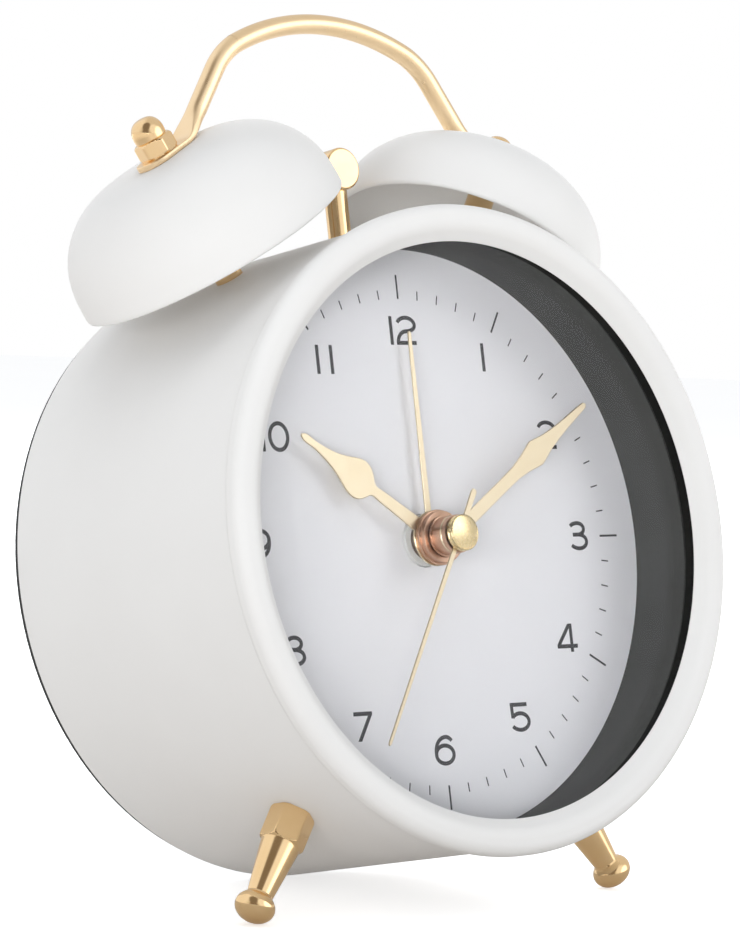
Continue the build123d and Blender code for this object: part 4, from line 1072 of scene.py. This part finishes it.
AIM = (0.0, 0.0, 0.075)
softbox("key_front_right", (0.62, -1.10, 0.75), AIM, 0.75, 0.75, 1.95)
softbox("low_camera", (-0.92, -1.05, 0.13), AIM, 0.6, 0.3, 5.35)
softbox("low_left", (-1.15, -0.80, 0.12), AIM, 1.1, 0.35, 5.78)
softbox("right_low", (1.2, 0.0, 0.15), AIM, 0.8, 0.3, 5.5)
softbox("back_low", (0.0, 1.2, 0.25), AIM, 1.0, 0.4, 3.2)
softbox("back_high", (0.9, 1.2, 0.8), AIM, 0.8, 0.6, 8.5)
softbox("top", (0.0, 0.1, 1.4), AIM, 1.0, 1.0, 1.4)
AMBIENT = 0.445


def studio_world():
    """Even light on the matt surfaces; a studio with bright and dark sides in the polished ones."""
    w = bpy.data.worlds.new("studio")
    scene.world = w
    w.use_nodes = True
    nt = w.node_tree
    nt.nodes.clear()
    out = nt.nodes.new("ShaderNodeOutputWorld")
    tc = nt.nodes.new("ShaderNodeTexCoord")

    def toward(d, lo, hi):
        """0 to 1 as the direction turns towards d."""
        dot = nt.nodes.new("ShaderNodeVectorMath")
        dot.operation = "DOT_PRODUCT"
        dot.inputs[1].default_value = Vector(d).normalized()
        nt.links.new(tc.outputs["Generated"], dot.inputs[0])
        m = nt.nodes.new("ShaderNodeMapRange")
        m.interpolation_type = "SMOOTHSTEP"
        m.inputs["From Min"].default_value = lo
        m.inputs["From Max"].default_value = hi
        nt.links.new(dot.outputs["Value"], m.inputs["Value"])
        return m.outputs["Result"]

    def mixed(fac, a, b):
        m = nt.nodes.new("ShaderNodeMix")
        m.data_type = "RGBA"
        nt.links.new(fac, m.inputs[0])
        for k, v in ((6, a), (7, b)):
            if isinstance(v, tuple):
                m.inputs[k].default_value = (*v, 1.0)
            else:
                nt.links.new(v, m.inputs[k])
        return m.outputs[2]

    def background(colour, strength):
        s = nt.nodes.new("ShaderNodeBackground")
        if isinstance(colour, tuple):
            s.inputs["Color"].default_value = (*colour, 1.0)
        else:
            nt.links.new(colour, s.inputs["Color"])
        s.inputs["Strength"].default_value = strength
        return s.outputs["Background"]

    def way(az, el):
        """Direction at an azimuth from the front towards the right, and a height."""
        az, el = math.radians(az), math.radians(el)
        return (math.sin(az) * math.cos(el), -math.cos(az) * math.cos(el), math.sin(el))

    sky = mixed(toward((0, 0, 1), -0.45, -0.10), (0.74, 0.62, 0.46), (0.74, 0.735, 0.73))
    sky = mixed(toward(way(-140, 25), 0.50, 0.82), sky, (0.98, 1.0, 1.04))
    sky = mixed(toward(way(8, 22), 0.80, 0.92), sky, (1.02, 1.05, 1.10))
    sky = mixed(toward(way(38, 10), 0.84, 0.96), sky, (2.10, 2.15, 2.25))
    for el in (2, 32, 50):
        sky = mixed(toward(way(-54, el), 0.88, 0.965), sky, (0.24, 0.21, 0.18))
    shiny = background(sky, 1.0)
    behind = background(sky, 0.32)
    even = background(COOL, AMBIENT)
    dark = background((0.0, 0.0, 0.0), 0.0)
    seen = background((1.0, 1.0, 1.0), 1.0)
    lp = nt.nodes.new("ShaderNodeLightPath")
    first = nt.nodes.new("ShaderNodeMath")
    first.operation = "LESS_THAN"
    first.inputs[1].default_value = 0.5
    nt.links.new(lp.outputs["Diffuse Depth"], first.inputs[0])
    mirror = nt.nodes.new("ShaderNodeMath")
    mirror.operation = "MULTIPLY"
    nt.links.new(lp.outputs["Is Glossy Ray"], mirror.inputs[0])
    nt.links.new(first.outputs["Value"], mirror.inputs[1])
    seen_through = nt.nodes.new("ShaderNodeMath")
    seen_through.operation = "MULTIPLY"
    nt.links.new(lp.outputs["Is Transmission Ray"], seen_through.inputs[0])
    nt.links.new(mirror.outputs["Value"], seen_through.inputs[1])
    prev = even
    for fac, sh in ((lp.outputs["Is Transmission Ray"], dark), (mirror.outputs["Value"], shiny),
                    (seen_through.outputs["Value"], behind), (lp.outputs["Is Camera Ray"], seen)):
        mix = nt.nodes.new("ShaderNodeMixShader")
        nt.links.new(fac, mix.inputs["Fac"])
        nt.links.new(prev, mix.inputs[1])
        nt.links.new(sh, mix.inputs[2])
        prev = mix.outputs["Shader"]
    nt.links.new(prev, out.inputs["Surface"])


studio_world()
scene.view_settings.view_transform = "Standard"
scene.view_settings.look = "None"
scene.view_settings.exposure = 0.0
